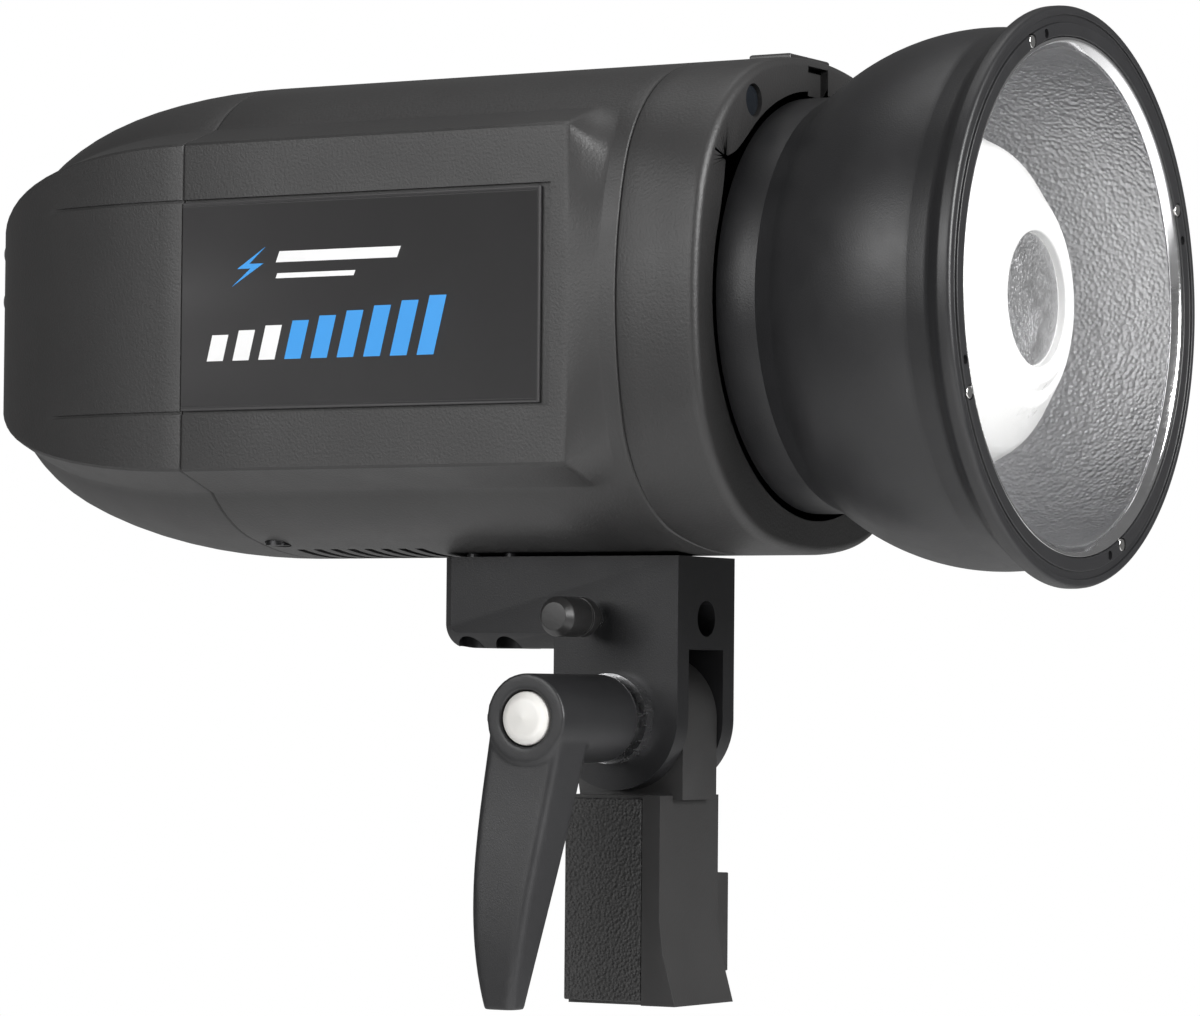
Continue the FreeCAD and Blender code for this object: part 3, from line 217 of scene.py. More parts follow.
def build_finishes(colours):
    """Every finish of the strobe, by the record's slot where it has one."""
    coat = tuple(colours.coat)
    casing = tuple(colours.casing)
    made = {
        "casing_black": moulded("casing_black", casing, 0.46, 1500, 0.00008),
        "label_grey": moulded("label_grey", tuple(colours.panel), 0.55, 2600, 0.00002),
        "anodised_black": anodised("anodised_black", coat, 0.42),
        "reflector_black": powder_coat("reflector_black", coat, 0.40, 2600, 0.00002),
        "hammered_silver": hammered("hammered_silver", (0.56, 0.56, 0.57), 0.34, 950, 0.0002),
        "eye_metal": hammered("eye_metal", (0.56, 0.56, 0.57), 0.4, 1100, 0.00028),
        "polished_silver": machined("polished_silver", (0.93, 0.93, 0.94), 0.12),
        "steel": machined("steel", (0.62, 0.62, 0.63), 0.25),
        "dark_steel": machined("dark_steel", (0.06, 0.06, 0.062), 0.35),
        "magnet_nickel": machined("magnet_nickel", (0.9, 0.89, 0.87), 0.14),
        "clear_glass": glassy("clear_glass", (0.95, 0.97, 1.0), 0.03, 0.9),
        "white_ceramic": moulded("white_ceramic", (0.82, 0.81, 0.78), 0.3, 500, 0.00003),
        "grip_black": moulded("grip_black", casing, 0.42, 2000, 0.00004),
        "grip_pad": rubber("grip_pad", tuple(c * 0.9 for c in casing), 1300, 0.0005),
        "lever_black": powder_coat("lever_black", coat, 0.42, 3200, 0.00002),
        "button_white": moulded("button_white", (0.62, 0.61, 0.585), 0.3, 400, 0.00001),
        "control_black": moulded("control_black", casing, 0.35, 1200, 0.00003),
        "button_rubber": rubber("button_rubber", (0.05, 0.05, 0.052), 1500, 0.00004),
        "screen_glass": glassy("screen_glass", (0.01, 0.012, 0.015), 0.06, 0.0),
        "socket_brass": machined("socket_brass", (0.7, 0.52, 0.25), 0.3),
        "circuit_board": moulded("circuit_board", (0.02, 0.12, 0.06), 0.4, 300, 0.00005),
        "sleeve_blue": moulded("sleeve_blue", (0.03, 0.06, 0.22), 0.3, 200, 0.00003),
        "sink_aluminium": machined("sink_aluminium", (0.7, 0.71, 0.72), 0.35),
        "fan_black": moulded("fan_black", (0.02, 0.02, 0.02), 0.45),
        "battery_black": moulded("battery_black", casing, 0.5, 1500, 0.00008),
        "cell_wrap": moulded("cell_wrap", (0.1, 0.35, 0.15), 0.3, 200, 0.00002),
        "led_yellow": moulded("led_yellow", (0.8, 0.6, 0.12), 0.4, 900, 0.00004),
        "transformer_core": moulded("transformer_core", (0.06, 0.055, 0.055), 0.6),
        "print_white": moulded("print_white", (0.78, 0.78, 0.78), 0.5, 1500, 0.00001),
        "print_blue": moulded("print_blue", tuple(colours.accent), 0.45, 1500, 0.00001),
    }
    dome = Finish("frosted_glass", (0.62, 0.62, 0.615), 0.3)
    dome.set("Subsurface Weight", 0.35).set("Subsurface Radius", (0.02, 0.02, 0.02))
    dome.set("Coat Weight", 0.2).set("Coat Roughness", 0.2)
    dome.vary_roughness(90, 0.04).vary_colour(30, 0.01)
    dome.bump(dome.noise(1500, 2.0), 0.00003)
    made["frosted_glass"] = dome
    return {name: finish.material for name, finish in made.items()}


FINISHES = {}


def finish_of(name):
    if not FINISHES:
        FINISHES.update(build_finishes(bpy.context.scene.strobe_colours))
    return FINISHES[name]


# ---------------------------------------------------------------- shaping

SHARP_DEGREES = 32
MERGE_DISTANCE = 2e-6
EDGE_SOFTNESS = 0.35


def sizes():
    return bpy.context.scene.strobe_sizes


def arc(start, end, radius, steps=20):
    """Places from start to end on an arc that bulges to the left of the way."""
    start, end = Vector(start), Vector(end)
    chord = end - start
    left = Vector((-chord.y, chord.x)).normalized()
    drop = math.sqrt(radius ** 2 - chord.length_squared / 4)
    centre = (start + end) / 2 - left * math.copysign(drop, radius)
    first = start - centre
    sweep = 2 * math.asin(chord.length / 2 / radius)
    places = []
    for step in range(steps + 1):
        turned = first.copy()
        turned.rotate(Matrix.Rotation(-sweep * step / steps, 2))
        places.append(tuple(centre + turned))
    return places


def rounded(corners, closed=True, steps=4):
    """A path whose corners (along, out, radius) are rounded where a radius is given."""
    places = []
    for index, corner in enumerate(corners):
        here = Vector(corner[:2])
        radius = corner[2] if len(corner) > 2 else 0
        before = Vector(corners[index - 1][:2]) - here
        after = Vector(corners[(index + 1) % len(corners)][:2]) - here
        ended = not closed and index in (0, len(corners) - 1)
        if not radius or ended:
            places.append(here)
            continue
        reach = radius / math.tan(before.angle(after) / 2)
        start = here + before.normalized() * min(reach, before.length * 0.49)
        end = here + after.normalized() * min(reach, after.length * 0.49)
        for step in range(steps + 1):
            share = step / steps
            places.append(start * (1 - share) ** 2 + here * 2 * share * (1 - share)
                          + end * share ** 2)
    return places


def add_piece(name, bm, finish, body, replaced=(),
              sharp=SHARP_DEGREES):
    """The mesh as a smooth-shaded object that moves with one body of the frame."""
    bmesh.ops.recalc_face_normals(bm, faces=bm.faces)
    mesh = bpy.data.meshes.new(name)
    bm.to_mesh(mesh)
    bm.free()
    mesh.shade_smooth()
    mesh.set_sharp_from_angle(angle=math.radians(sharp))
    piece = bpy.data.objects.new(name, mesh)
    bpy.context.scene.collection.objects.link(piece)
    mesh.materials.append(finish_of(finish))
    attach(piece, body)
    if replaced:
        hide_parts(*replaced)
    return piece


def lathe(outline, closed=True, place=AXIS, turn=Matrix.Identity(3)):
    """The outline (along, out) in millimetres turned about the Y axis, then placed."""
    bm = bmesh.new()
    verts = [bm.verts.new((out * MM, along * MM, 0)) for along, out in outline]
    pairs = zip(verts, verts[1:] + verts[:1]) if closed else zip(verts, verts[1:])
    edges = [bm.edges.new(pair) for pair in pairs]
    bmesh.ops.spin(bm, geom=verts + edges, cent=(0, 0, 0), axis=(0, 1, 0),
                   angle=math.tau, steps=sizes().turned_steps, use_merge=True)
    bmesh.ops.remove_doubles(bm, verts=bm.verts, dist=1e-7)
    bmesh.ops.transform(bm, matrix=Matrix.Translation(place) @ turn.to_4x4(), verts=bm.verts)
    return bm


def skin(rings, closed=False):
    """Faces between successive rings that have the same count of places."""
    bm = bmesh.new()
    loops = []
    for ring in rings:
        verts = [bm.verts.new(place) for place in ring]
        loops.append([bm.edges.new(pair) for pair in zip(verts, verts[1:] + verts[:1])])
    followers = loops[1:] + loops[:1] if closed else loops[1:]
    for before, after in zip(loops, followers):
        bmesh.ops.bridge_loops(bm, edges=before + after)
    return bm


def round_edges(bm, edges, width, segments):
    """Rounds the given edges by a width in millimetres."""
    bmesh.ops.bevel(bm, geom=edges, offset=width * MM, affect="EDGES", segments=segments,
                    profile=0.5, material=-1)


def block(low, high, soft=0.0):
    """A box between two corners in millimetres, its edges rounded if soft is given."""
    low, high = Vector(low) * MM, Vector(high) * MM
    bm = bmesh.new()
    bmesh.ops.create_cube(bm, size=1)
    bmesh.ops.scale(bm, vec=high - low, verts=bm.verts)
    bmesh.ops.translate(bm, vec=(low + high) / 2, verts=bm.verts)
    if soft:
        round_edges(bm, bm.edges[:], soft, 4)
    return bm


def slug(place, radius, length, axis="Y", facets=48):
    """A cylinder from a place in millimetres along +X, +Y or +Z."""
    bm = bmesh.new()
    bmesh.ops.create_cone(bm, cap_ends=True, segments=facets, radius1=radius * MM,
                          radius2=radius * MM, depth=length * MM)
    turn = Vector((0, 0, 1)).rotation_difference(
        {"X": Vector((1, 0, 0)), "Y": Vector((0, 1, 0)), "Z": Vector((0, 0, 1))}[axis])
    bmesh.ops.transform(bm, matrix=turn.to_matrix().to_4x4()
                        @ Matrix.Translation((0, 0, length * MM / 2)), verts=bm.verts)
    bmesh.ops.translate(bm, vec=Vector(place) * MM, verts=bm.verts)
    return bm


def carve(piece, cutters):
    """Cuts each closed mesh out of the piece."""
    tools = []
    for bm in cutters:
        bmesh.ops.recalc_face_normals(bm, faces=bm.faces)
        mesh = bpy.data.meshes.new("cutter")
        bm.to_mesh(mesh)
        bm.free()
        tool = bpy.data.objects.new("cutter", mesh)
        bpy.context.scene.collection.objects.link(tool)
        tools.append(tool)
        cut = piece.modifiers.new("cut", "BOOLEAN")
        cut.operation = "DIFFERENCE"
        cut.solver = "MANIFOLD"
        cut.object = tool
    bpy.context.view_layer.update()
    graph = bpy.context.evaluated_depsgraph_get()
    carved = bpy.data.meshes.new_from_object(piece.evaluated_get(graph))
    carved.name = piece.name
    piece.modifiers.clear()
    piece.data = carved
    for tool in tools:
        bpy.data.objects.remove(tool)
    return piece


def mark_sharp(piece):
    """Keeps the hard edges of a carved piece hard under smooth shading."""
    piece.data.set_sharp_from_angle(angle=math.radians(SHARP_DEGREES))


def soften(piece, width=EDGE_SOFTNESS, angle=30):
    """A small round on every edge sharper than the angle."""
    edge = piece.modifiers.new("soft edges", "BEVEL")
    edge.width = width * MM
    edge.segments = 3
    edge.limit_method = "ANGLE"
    edge.angle_limit = math.radians(angle)
    edge.harden_normals = True
    return piece


def refined(node, finish, body, width=EDGE_SOFTNESS):
    """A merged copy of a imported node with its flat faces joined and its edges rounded."""
    bm = bmesh.new()
    bm.from_mesh(NODES[node].data)
    bmesh.ops.remove_doubles(bm, verts=bm.verts, dist=MERGE_DISTANCE)
    bmesh.ops.dissolve_limit(bm, angle_limit=math.radians(0.6), use_dissolve_boundaries=False,
                             verts=bm.verts, edges=bm.edges)
    piece = add_piece(node + "_soft", bm, finish, body, (node,))
    return soften(piece, width)


# ---------------------------------------------------------------- casing section

HALF = 58.5
SIDE_ARC = 110
CORNER_ARC = 36
FRONT_CORNER_ARC = 46
PANEL = {"reach": 60.0, "half": 39.2, "band": 44.0}
FACET_FOOT = 47          # how far out the casing is where a panel's facet meets it
SECTION_STEPS = 240
EDGE_PAIR, EDGE_CLEAR = 0.006, 0.013     # radians beside a panel edge
COVER_LENGTH, COVER_POWER = 80.5, 0.345  # how the rear cover closes in
WALL_SHARE = (HALF - 2.2) / HALF
SEAM_DEPTH = 0.6
SEAM_LIP, SEAM_RUN = 0.12, 0.4
RING_FRONT, RING_SEAM, REAR_SEAM = -46, -25, 94
MOUTH_RADIUS = 49.8
MAGNET_CIRCLE = 61.2


def hit(direction, centre, radius):
    """How far along the direction from the axis the circle's far side is met."""
    along = direction.dot(centre)
    return along + math.sqrt(radius ** 2 - centre.length_squared + along ** 2)


def casing_reach(angle, corner=CORNER_ARC):
    """Distance from the axis to the plain casing at an angle."""
    angle = abs((angle + math.pi / 4) % (math.pi / 2) - math.pi / 4)
    direction = Vector((math.cos(angle), math.sin(angle)))
    bow = SIDE_ARC - HALF
    inset = (math.sqrt(2 * (SIDE_ARC - corner) ** 2 - bow ** 2) - bow) / 2
    meeting = SIDE_ARC / (SIDE_ARC - corner) * inset
    side = hit(direction, Vector((-bow, 0)), SIDE_ARC)
    if side * direction.y <= meeting:
        return side
    return hit(direction, Vector((inset, inset)), corner)


def panel_reach(angle, rise=1.0, half=PANEL["half"]):
    """The same with the flat side panels and their facets, raised by a share."""
    plain = casing_reach(angle)
    across, up = abs(math.cos(angle)), abs(math.sin(angle))
    band = half + PANEL["band"] - PANEL["half"]
    outer = casing_reach(math.atan2(band, FACET_FOOT))
    foot = Vector((math.sqrt(max(outer ** 2 - band ** 2, 0)), band))
    crown = Vector((PANEL["reach"], half))
    if across * plain < 20:
        return plain
    reach = crown.x / across
    if up * reach > half:
        slope = crown - foot
        reach = slope.cross(crown) / slope.cross(Vector((across, up)))
        if up * reach > band or reach <= 0:
            return plain
    return plain + max(reach - plain, -plain * 0.2) * rise


def section_angles():
    """Angles all round, with a close pair at each edge of the panels."""
    angles = [math.tau * step / SECTION_STEPS for step in range(SECTION_STEPS)]
    half = math.atan2(PANEL["half"], PANEL["reach"])
    band = math.atan2(PANEL["band"], 46.7)
    for edge in (half, band):
        for mirrored in (edge, math.pi - edge, math.pi + edge, math.tau - edge):
            angles = [a for a in angles if abs(a - mirrored) > EDGE_CLEAR]
            angles += [mirrored - EDGE_PAIR, mirrored + EDGE_PAIR]
    return sorted(angles)


ANGLES = section_angles()


def ring(y, reach, share=1.0, inset=0.0):
    """One ring of places round the axis at y, from a function of the angle."""
    places = []
    for angle in ANGLES:
        out = (reach(angle) * share - inset) * MM
        places.append(AXIS + Vector((out * math.cos(angle), y * MM, out * math.sin(angle))))
    return places


def cover_share(y):
    """How far the rear cover has closed in at y, as a share of the full section."""
    along = (y - REAR_SEAM) / COVER_LENGTH
    return (1 - along ** 2) ** COVER_POWER


# ---------------------------------------------------------------- casing pieces

class STROBE_OT_front_ring(bpy.types.Operator):
    """Front ring of the casing with its mouth, sensor recess and lock notch"""
    bl_idname = "strobe.front_ring"
    bl_label = "Front ring"

    def execute(self, context):
        def at(y):
            share = (y - RING_FRONT) / (RING_SEAM - RING_FRONT)
            corner = FRONT_CORNER_ARC + (CORNER_ARC - FRONT_CORNER_ARC) * share
            return lambda angle: casing_reach(angle, corner)

        edge = [(RING_SEAM, SEAM_DEPTH), (RING_SEAM - SEAM_RUN, SEAM_LIP), (RING_SEAM - 1, 0)]
        edge += [(y, 0) for y in (-30, -35, -40, -43.5)]
        round_radius, round_steps = 2.2, 6
        for step in range(1, round_steps + 1):
            turn = math.pi / 2 * step / round_steps
            edge.append((-43.8 - round_radius * math.sin(turn),
                         round_radius - round_radius * math.cos(turn)))
        rings = [ring(y, at(y), 1, inset) for y, inset in edge]
        for y, out in ((-46, MOUTH_RADIUS + 0.8), (-45.8, MOUTH_RADIUS + 0.2),
                       (-45.2, MOUTH_RADIUS), (-43, MOUTH_RADIUS)):
            rings.append(ring(y, lambda angle, out=out: out))
        rings += [ring(-43, at(-43), WALL_SHARE), ring(RING_SEAM, at(RING_SEAM), WALL_SHARE)]
        piece = add_piece("front_ring_shell", skin(rings, True), "casing_black", "head",
                          ("front_ring",))
        carve(piece, [slug((-31.5, -47, 210.5), 3.85, 4.2),
                      block((-5, -47, 213.5), (5, -44, 221.4)),
                      block((-10.25, -44.05, 220.4), (10.25, -28.5, 226))])
        mark_sharp(piece)
        return {"FINISHED"}


class STROBE_OT_mid_shell(bpy.types.Operator):
    """Middle shell with raised side panels, label recess, vents and battery doorway"""
    bl_idname = "strobe.mid_shell"
    bl_label = "Middle shell"

    def execute(self, context):
        rings = [ring(RING_SEAM, casing_reach, 1, SEAM_DEPTH),
                 ring(RING_SEAM + SEAM_RUN, casing_reach, 1, SEAM_LIP),
                 ring(RING_SEAM + 1, casing_reach),
                 ring(-20.8, casing_reach)]
        roll = ((-20.5, 0.02, 34), (-19.6, 0.14, 35), (-16.4, 0.56, 37.1),
                (-13.6, 0.92, 38.7), (-12.9, 0.98, 39), (-11.8, 1, 39.2))
        for y, rise, half in roll:
            rings.append(ring(y, lambda a, r=rise, h=half: panel_reach(a, r, h)))
        rings += [ring(y, panel_reach) for y in (10, 40, 70, REAR_SEAM - 1)]
        rings += [ring(REAR_SEAM - SEAM_RUN, panel_reach, 1, SEAM_LIP),
                  ring(REAR_SEAM, panel_reach, 1, SEAM_DEPTH),
                  ring(REAR_SEAM, casing_reach, WALL_SHARE),
                  ring(RING_SEAM, casing_reach, WALL_SHARE)]
        piece = add_piece("mid_shell_skin", skin(rings, True), "casing_black", "head",
                          ("mid_shell",))
        cutters = [block((-70, -8.6, 139.3), (-59, 95, 190.7)),
                   block((40, -8, 130.9), (70, 78, 199.1)),
                   block((58, 80.2, 155.5), (70, 91, 174.5))]
        vents, vent_pitch = 8, 4.9
        cutters += [block((-19, 51 + vent_pitch * step, 100),
                          (19, 53.4 + vent_pitch * step, 114)) for step in range(vents)]
        cutters += [slug((side, 89, 105), 3.25, 5.4, "Z") for side in (-25, 25)]
        carve(piece, cutters)
        mark_sharp(piece)
        return {"FINISHED"}


class STROBE_OT_rear_cover(bpy.types.Operator):
    """Rear cover that closes in behind the panels, with its thin side grooves"""
    bl_idname = "strobe.rear_cover"
    bl_label = "Rear cover"

    def execute(self, context):
        places = [95, 100, 106, 112, 118, 124, 130, 136, 141, 146, 150, 154, 157.5, 160.5,
                  163, 165.2, 167.2, 169, 170.5, 171.7]
        rings = [ring(REAR_SEAM, panel_reach, 1, SEAM_DEPTH),
                 ring(REAR_SEAM + SEAM_RUN, panel_reach, 1, SEAM_LIP)]
        rings += [ring(y, panel_reach, cover_share(y)) for y in places]
        rings += [ring(172.7, panel_reach, 0.33), ring(173.3, panel_reach, 0.27),
                  ring(173.3, panel_reach, 0.05), ring(170.5, panel_reach, 0.05)]
        inner = [y for y in reversed(places) if y < 168]
        rings += [ring(y, casing_reach, cover_share(y + 3.5) * WALL_SHARE) for y in inner]
        rings.append(ring(REAR_SEAM, casing_reach, WALL_SHARE))
        piece = add_piece("rear_cover_skin", skin(rings, True), "casing_black", "head",
                          ("rear_cover",))
        window = block((-33.3, 147, 134.7), (33.3, 176, 195.3))
        corners = [e for e in window.edges if abs(e.verts[0].co.y - e.verts[1].co.y) > 0.01]
        round_edges(window, corners, 10, 10)
        cutters = [window]
        groove_half, groove_depth, groove_end = 0.4, 0.6, 138
        for height in (-25.35, 25.35):
            rings = []
            for y in (93, 96, 104, 112, 120, 128, 134, groove_end):
                surface = PANEL["reach"] * cover_share(y)
                sunk = surface - groove_depth + (0.8 if y == groove_end else 0)
                corners = ((-surface - 2, -groove_half), (-sunk, -groove_half),
                           (-sunk, groove_half), (-surface - 2, groove_half))
                rings.append([AXIS + Vector((x, y, height + z)) * MM for x, z in corners])
            groove = skin(rings)
            bmesh.ops.holes_fill(groove, edges=groove.edges, sides=4)
            cutters.append(groove)
        carve(piece, cutters)
        mark_sharp(piece)
        return {"FINISHED"}


LABEL_FACE = -59.95
PRINT_THICKNESS = 0.09
BAR_COUNT, BAR_PITCH, BAR_WIDTH = 9, 7.4, 4.6
BAR_FOOT, BAR_HEIGHT, BAR_GROWTH, BAR_LEAN = -13.2, 6.2, 0.95, 0.25
WHITE_BARS = 3


def flat_shape(corners, thick=PRINT_THICKNESS):
    """A print of that thickness on the label's face; corners are (y, z) from the axis."""
    bm = bmesh.new()
    face = bm.faces.new([bm.verts.new((LABEL_FACE * MM, y * MM, AXIS.z + z * MM))
                         for y, z in corners])
    grown = bmesh.ops.extrude_face_region(bm, geom=[face])
    raised = [item for item in grown["geom"] if isinstance(item, bmesh.types.BMVert)]
    bmesh.ops.translate(bm, vec=(-thick * MM, 0, 0), verts=raised)
    return bm


class STROBE_OT_label(bpy.types.Operator):
    """Label plate with a generic flash symbol and plain bars"""
    bl_idname = "strobe.label"
    bl_label = "Label"

    def execute(self, context):
        plate = add_piece("label_sheet", block((-60, -5.9, 140.05), (-59.02, 94, 189.95), 0.2),
                          "label_grey", "head", ("label_plate",))
        carve(plate, [block((-61, -5, 140.9), (-59.85, 94.5, 141.15)),
                      block((-61, -5, 188.85), (-59.85, 94.5, 189.1))])
        bolt = ((79.5, 4.4), (70.5, 9.7), (74.6, 9.7), (70, 13.6), (78, 8.6), (74.2, 8.6))
        add_piece("label_bolt", flat_shape(bolt), "print_blue", "head")
        for index, (rear, front, low, high) in enumerate(
                ((67, 33, 9.8, 12.4), (67, 45, 6, 7.2))):
            shape = ((rear, low), (front, low), (front - (high - low) * 0.4, high),
                     (rear - (high - low) * 0.4, high))
            add_piece(f"label_line_{index}", flat_shape(shape), "print_white", "head")
        for index in range(BAR_COUNT):
            rear = 86.5 - BAR_PITCH * index
            low, high = BAR_FOOT, BAR_FOOT + BAR_HEIGHT + BAR_GROWTH * index
            lean = (high - low) * BAR_LEAN
            shape = ((rear, low), (rear - BAR_WIDTH, low), (rear - BAR_WIDTH - lean, high),
                     (rear - lean, high))
            add_piece(f"label_bar_{index}", flat_shape(shape),
                      "print_white" if index < WHITE_BARS else "print_blue", "head")
        return {"FINISHED"}


# ---------------------------------------------------------------- reflector and dome

def rim_places(lead):
    """The four places (x, z) on the magnet circle, led by an angle in degrees."""
    angles = (math.radians(90 * index - lead) for index in range(4))
    return [(MAGNET_CIRCLE * math.sin(angle), AXIS_HEIGHT + MAGNET_CIRCLE * math.cos(angle))
            for angle in angles]


class STROBE_OT_reflector(bpy.types.Operator):
    """Bell with its rolled rim, bright ring, magnets and hammered bowl"""
    bl_idname = "strobe.reflector"
    bl_label = "Reflector"

    def execute(self, context):
        outline = rounded([(-39.5, 43.5), (-39.5, 48.9, 0.3), (-58.4, 48.9, 0.8),
                           (-60, 50.2, 0.8)])[1:]
        outline += arc((-60.5, 50.9), (-101, 62.4), -56, 30)
        outline += rounded([(-101.2, 62.45), (-106.3, 62.8, 3), (-109.2, 65.5, 2.2),
                            (-110.6, 66.7, 1.2), (-113.8, 66.7, 1.5), (-113.8, 64.6, 0.3),
                            (-113.1, 64.5, 0.3), (-113.1, 62.9, 0.3), (-113.8, 62.8, 0.3),
                            (-113.8, 59.7, 0.4), (-111.2, 59.6), (-111.2, 61), (-101, 61)],
                           False)
        outline += arc((-100.6, 60.9), (-60.5, 49.6), 54.5, 24)
        outline += [(-57.4, 46.6), (-41, 46.6), (-41, 43.5)]
        bell = add_piece("bell_shell", lathe(outline), "reflector_black", "reflector",
                         ("reflector_bell",))
        spots = rim_places(24)
        notches = rim_places(17)
        wells = [slug((x, -114.5, z), 1.75, 2.9, "Y", 32) for x, z in spots]
        wells += [slug((x, -114.5, z), 1.1, 1.5, "Y", 24) for x, z in notches]
        carve(bell, wells)
        mark_sharp(bell)
        lip = rounded([(-113.5, 59.55, 0.3), (-113.4, 58.6, 1.2), (-111.3, 57.1, 0.4),
                       (-110.9, 58), (-112.2, 59.55)])
        add_piece("bright_ring", lathe(lip), "polished_silver", "reflector",
                  ())
        bowl = [(-111.1, 58)] + arc((-111.1, 57), (-58, 44.1), 80, 48)
        bowl += [(-57, 44.1), (-57, 46.5), (-58, 46.5)]
        bowl += arc((-58.2, 45.2), (-111, 58), -81, 48)
        add_piece("bowl_shell", lathe(bowl), "hammered_silver", "reflector",
                  ("reflector_bowl",))
        magnets = bmesh.new()
        for x, z in spots:
            one = slug((x, -113.7, z), 1.5, 2, "Y", 32)
            rim = [e for e in one.edges if all(v.co.y < -0.1136 for v in e.verts)]
            round_edges(one, rim, 0.25, 3)
            mesh = bpy.data.meshes.new("magnet")
            one.to_mesh(mesh)
            one.free()
            magnets.from_mesh(mesh)
            bpy.data.meshes.remove(mesh)
        add_piece("rim_magnet_discs", magnets, "magnet_nickel", "reflector", ("rim_magnets",))
        return {"FINISHED"}


class STROBE_OT_dome(bpy.types.Operator):
    """Frosted dome with its raised eye ring and hammered eye plate"""
    bl_idname = "strobe.dome"
    bl_label = "Dome"

    def execute(self, context):
        outline = [(-40, 36.4), (-40, 38.3), (-51, 38.3), (-53, 40)]
        outline += rounded([(-70, 40), (-84, 40, 15), (-93, 35.6, 12), (-101.4, 24.4, 5),
                            (-102, 21.5, 1.5), (-103.7, 19.2, 1.2), (-104, 17.4, 1),
                            (-103.4, 15.65, 0.8), (-101.4, 15.6), (-101.4, 14.2), (-99, 14.2),
                            (-98.6, 24, 4), (-91, 34, 12), (-82, 38, 12), (-53, 38)],
                           False, 8)
        outline += [(-50, 36.4)]
        add_piece("dome_shell", lathe(outline), "frosted_glass", "dome", ("glass_dome",))
        plate = rounded([(-100, 0.01), (-100, 15.4), (-101.5, 15.4, 0.4), (-101.6, 0.01)],
                        False)
        add_piece("eye_disc", lathe(plate), "eye_metal", "dome", ("eye_plate",))
        return {"FINISHED"}


# ---------------------------------------------------------------- bracket, lever and grip

TO_CAMERA_SIDE = Matrix.Rotation(math.pi / 2, 3, "Z")


class STROBE_OT_bracket(bpy.types.Operator):
    """Tilting bracket with softened machined edges, and the umbrella lock knob"""
    bl_idname = "strobe.bracket"
    bl_label = "Bracket"

    def execute(self, context):
        refined("bracket", "anodised_black", "head", width=0.3)
        outline = rounded([(17.2, 2.55), (17.2, 3.8, 0.3), (19.4, 3.8, 0.2), (19.4, 4.75, 0.4),
                           (22.2, 4.75, 0.2), (22.2, 4.3, 0.2), (23.4, 4.3, 0.2),
                           (23.4, 4.75, 0.2), (31.4, 4.75, 0.8), (33.2, 3.3, 0.3),
                           (33.2, 0.01)], False)
        outline += [(30.5, 0.01), (30.5, 2), (18, 2.55)]
        knob = lathe(outline, True, Vector((0, 5.6, 91.5)) * MM, TO_CAMERA_SIDE)
        add_piece("umbrella_knob_body", knob, "control_black", "umbrella_lock",
                  ("umbrella_knob",))
        return {"FINISHED"}


class STROBE_OT_lever(bpy.types.Operator):
    """Cast clamp lever whose arm runs softly into its hub, with the white push button"""
    bl_idname = "strobe.lever"
    bl_label = "Clamp lever"

    def execute(self, context):
        bm = bmesh.new()
        bm.from_mesh(NODES["clamp_lever"].data)
        bmesh.ops.remove_doubles(bm, verts=bm.verts, dist=MERGE_DISTANCE)
        piece = add_piece("lever_casting", bm, "lever_black", "lever", ("clamp_lever",),
                          60)
        cast = piece.modifiers.new("cast", "REMESH")
        cast.mode = "VOXEL"
        cast.voxel_size = 0.45 * MM
        cast.use_smooth_shade = True
        worn = piece.modifiers.new("worn", "SMOOTH")
        worn.factor = 0.6
        worn.iterations = 9
        outline = [(46.9, 0.01), (46.9, 5.4)]
        outline += rounded([(47.2, 6.25, 0.2), (54.6, 6.25, 1.2), (56.0, 4.6, 2.4),
                            (56.45, 0.01)], False, 8)
        button = lathe(outline, True, Vector((0, 0, TILT_HEIGHT)) * MM, TO_CAMERA_SIDE)
        add_piece("lever_button_cap", button, "button_white", "lever_button",
                  ("lever_button",))
        return {"FINISHED"}


class STROBE_OT_grip(bpy.types.Operator):
    """Grip core, its two leather-grained pads and the stand knob"""
    bl_idname = "strobe.grip"
    bl_label = "Grip"

    def execute(self, context):
        refined("grip_core", "grip_black", "grip", width=1.5)
        refined("grip_pad_near", "grip_pad", "grip", width=0.4)
        refined("grip_pad_far", "grip_pad", "grip", width=0.4)
        refined("stand_knob", "control_black", "stand_lock", width=0.6)
        return {"FINISHED"}


class STROBE_OT_controls(bpy.types.Operator):
    """Rear controls, lock slider, battery and its latch with softened edges"""
    bl_idname = "strobe.controls"
    bl_label = "Controls"

    def execute(self, context):
        bodies = {name: body for body, names in frame["record"]["behaviour"]["bodies"].items()
                  for name in names}
        slots = {part["node"]: part["material_slot"] for part in frame["record"]["subparts"]}
        for node, width in (("control_bezel", 0.3), ("dial_knob", 0.5), ("lock_slider", 0.4),
                            ("battery_case", 0.5), ("battery_latch", 0.3),
                            ("test_button", 0.4), ("power_button", 0.4),
                            ("menu_button_upper_left", 0.4), ("menu_button_lower_left", 0.4),
                            ("menu_button_upper_right", 0.4),
                            ("menu_button_lower_right", 0.4)):
            refined(node, slots[node], bodies[node], width=width)
        return {"FINISHED"}


# ---------------------------------------------------------------- camera, lights, stage

CAMERA_PLACE = Vector((-1.0505, -0.6012, 0.0725))
CAMERA_TARGET = Vector((0, 0.0126, 0.1182))
CAMERA_LENS = 151.5
CAMERA_ROLL = math.radians(0.5)
FLOOR_DROP = 0.75
WORLD_LIGHT = 0.18


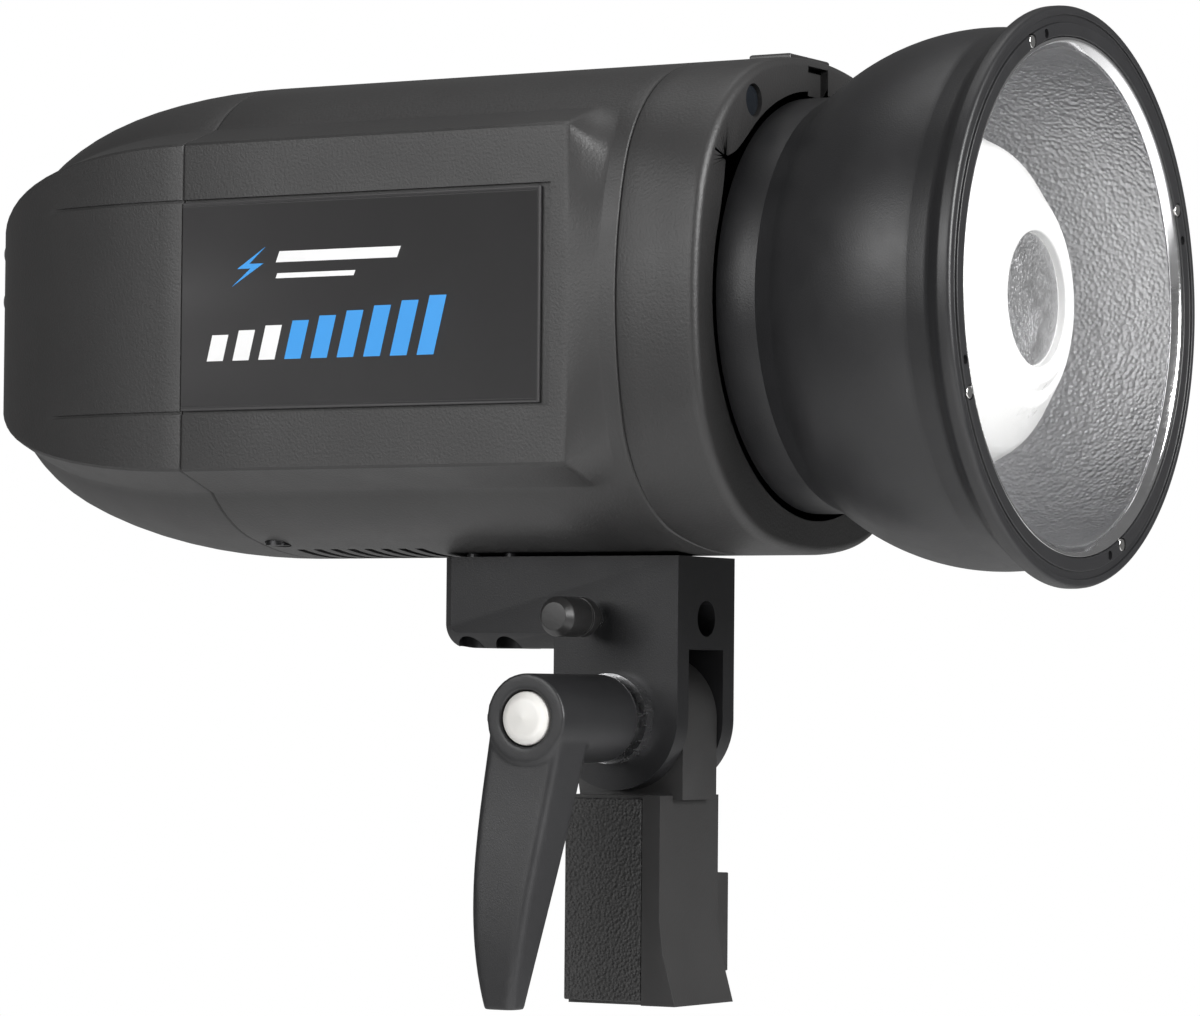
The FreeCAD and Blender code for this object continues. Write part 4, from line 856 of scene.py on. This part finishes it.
def add_area(name, place, target, size, power, colour=(1, 1, 1)):
    data = bpy.data.lights.new(name, "AREA")
    data.shape = "RECTANGLE"
    data.size, data.size_y = size
    data.energy = power
    data.color = colour
    lamp = bpy.data.objects.new(name, data)
    bpy.context.collection.objects.link(lamp)
    lamp.location = place
    lamp.rotation_euler = (Vector(target) - Vector(place)).to_track_quat("-Z", "Y").to_euler()
    return lamp


class STROBE_OT_stage(bpy.types.Operator):
    """Floor, soft lights and the camera"""
    bl_idname = "strobe.stage"
    bl_label = "Stage"

    def execute(self, context):
        scene = context.scene
        data = bpy.data.cameras.new("view")
        data.lens = CAMERA_LENS
        camera = bpy.data.objects.new("view", data)
        scene.collection.objects.link(camera)
        aim = (CAMERA_TARGET - CAMERA_PLACE).to_track_quat("-Z", "Y").to_matrix().to_4x4()
        roll = Matrix.Rotation(CAMERA_ROLL, 4, "Z")
        camera.matrix_world = Matrix.Translation(CAMERA_PLACE) @ aim @ roll
        scene.camera = camera
        scene.view_settings.view_transform = "Standard"

        bm = bmesh.new()
        bmesh.ops.create_grid(bm, x_segments=1, y_segments=1, size=6)
        mesh = bpy.data.meshes.new("floor")
        bm.to_mesh(mesh)
        bm.free()
        mesh.transform(Matrix.Translation((0, 0, -FLOOR_DROP)))
        floor = bpy.data.objects.new("floor", mesh)
        scene.collection.objects.link(floor)
        pale = Finish("floor_paper", (0.9, 0.9, 0.9), 0.9)
        pale.set("Emission Color", (1, 1, 1, 1))
        seen_directly = pale.tree.nodes.new("ShaderNodeLightPath").outputs["Is Camera Ray"]
        pale.link(pale.ramp(seen_directly, 0.1, 0.55, 0, 1),
                  pale.shader.inputs["Emission Strength"])
        floor.data.materials.append(pale.material)

        world = bpy.data.worlds.new("studio")
        world.use_nodes = True
        nodes, links = world.node_tree.nodes, world.node_tree.links
        seen = nodes["Background"]
        seen.inputs["Color"].default_value = (1, 1, 1, 1)
        seen.inputs["Strength"].default_value = 1.0
        lighting = nodes.new("ShaderNodeBackground")
        lighting.inputs["Strength"].default_value = WORLD_LIGHT
        ray = nodes.new("ShaderNodeLightPath")
        mix = nodes.new("ShaderNodeMixShader")
        links.new(ray.outputs["Is Camera Ray"], mix.inputs["Fac"])
        links.new(lighting.outputs["Background"], mix.inputs[1])
        links.new(seen.outputs["Background"], mix.inputs[2])
        links.new(mix.outputs["Shader"], nodes["World Output"].inputs["Surface"])
        scene.world = world

        add_area("key_softbox", (-0.25, -1.7, 0.75), (0, -0.05, 0.15), (1.1, 1.1), 62)
        add_area("camera_side_softbox", (-1.7, 0.5, 0.7), (0, 0.05, 0.15), (1.4, 1.0), 21)
        add_area("top_strip", (0.1, 0.2, 1.6), (0, 0.05, 0.15), (1.2, 0.8), 5)
        add_area("low_strip", (-1.2, -0.2, -0.6), (0, 0.05, 0.15), (1.4, 0.35), 2.5)
        return {"FINISHED"}


class STROBE_OT_frame_finishes(bpy.types.Operator):
    """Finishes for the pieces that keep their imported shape"""
    bl_idname = "strobe.frame_finishes"
    bl_label = "Finishes of the frame"

    def execute(self, context):
        for part in frame["record"]["subparts"]:
            node = NODES[part["node"]]
            node.data.materials.clear()
            node.data.materials.append(finish_of(part["material_slot"]))
        return {"FINISHED"}


# ---------------------------------------------------------------- panel and registration

STEPS = (STROBE_OT_stage, STROBE_OT_frame_finishes, STROBE_OT_front_ring,
         STROBE_OT_mid_shell, STROBE_OT_rear_cover, STROBE_OT_label, STROBE_OT_reflector,
         STROBE_OT_dome, STROBE_OT_bracket, STROBE_OT_lever, STROBE_OT_grip,
         STROBE_OT_controls)


class STROBE_PT_build(bpy.types.Panel):
    bl_label = "Strobe"
    bl_idname = "STROBE_PT_build"
    bl_space_type = "VIEW_3D"
    bl_region_type = "UI"
    bl_category = "Strobe"

    def draw(self, context):
        for step in STEPS:
            self.layout.operator(step.bl_idname)


CLASSES = (StrobeSizes, StrobeColours) + STEPS + (STROBE_PT_build,)


def register():
    for item in CLASSES:
        bpy.utils.register_class(item)
    bpy.types.Scene.strobe_sizes = PointerProperty(type=StrobeSizes)
    bpy.types.Scene.strobe_colours = PointerProperty(type=StrobeColours)


def unregister():
    del bpy.types.Scene.strobe_colours
    del bpy.types.Scene.strobe_sizes
    for item in reversed(CLASSES):
        bpy.utils.unregister_class(item)


def main():
    register()
    for step in STEPS:
        group, name = step.bl_idname.split(".")
        getattr(getattr(bpy.ops, group), name)()


if __name__ == "__main__":
    main()
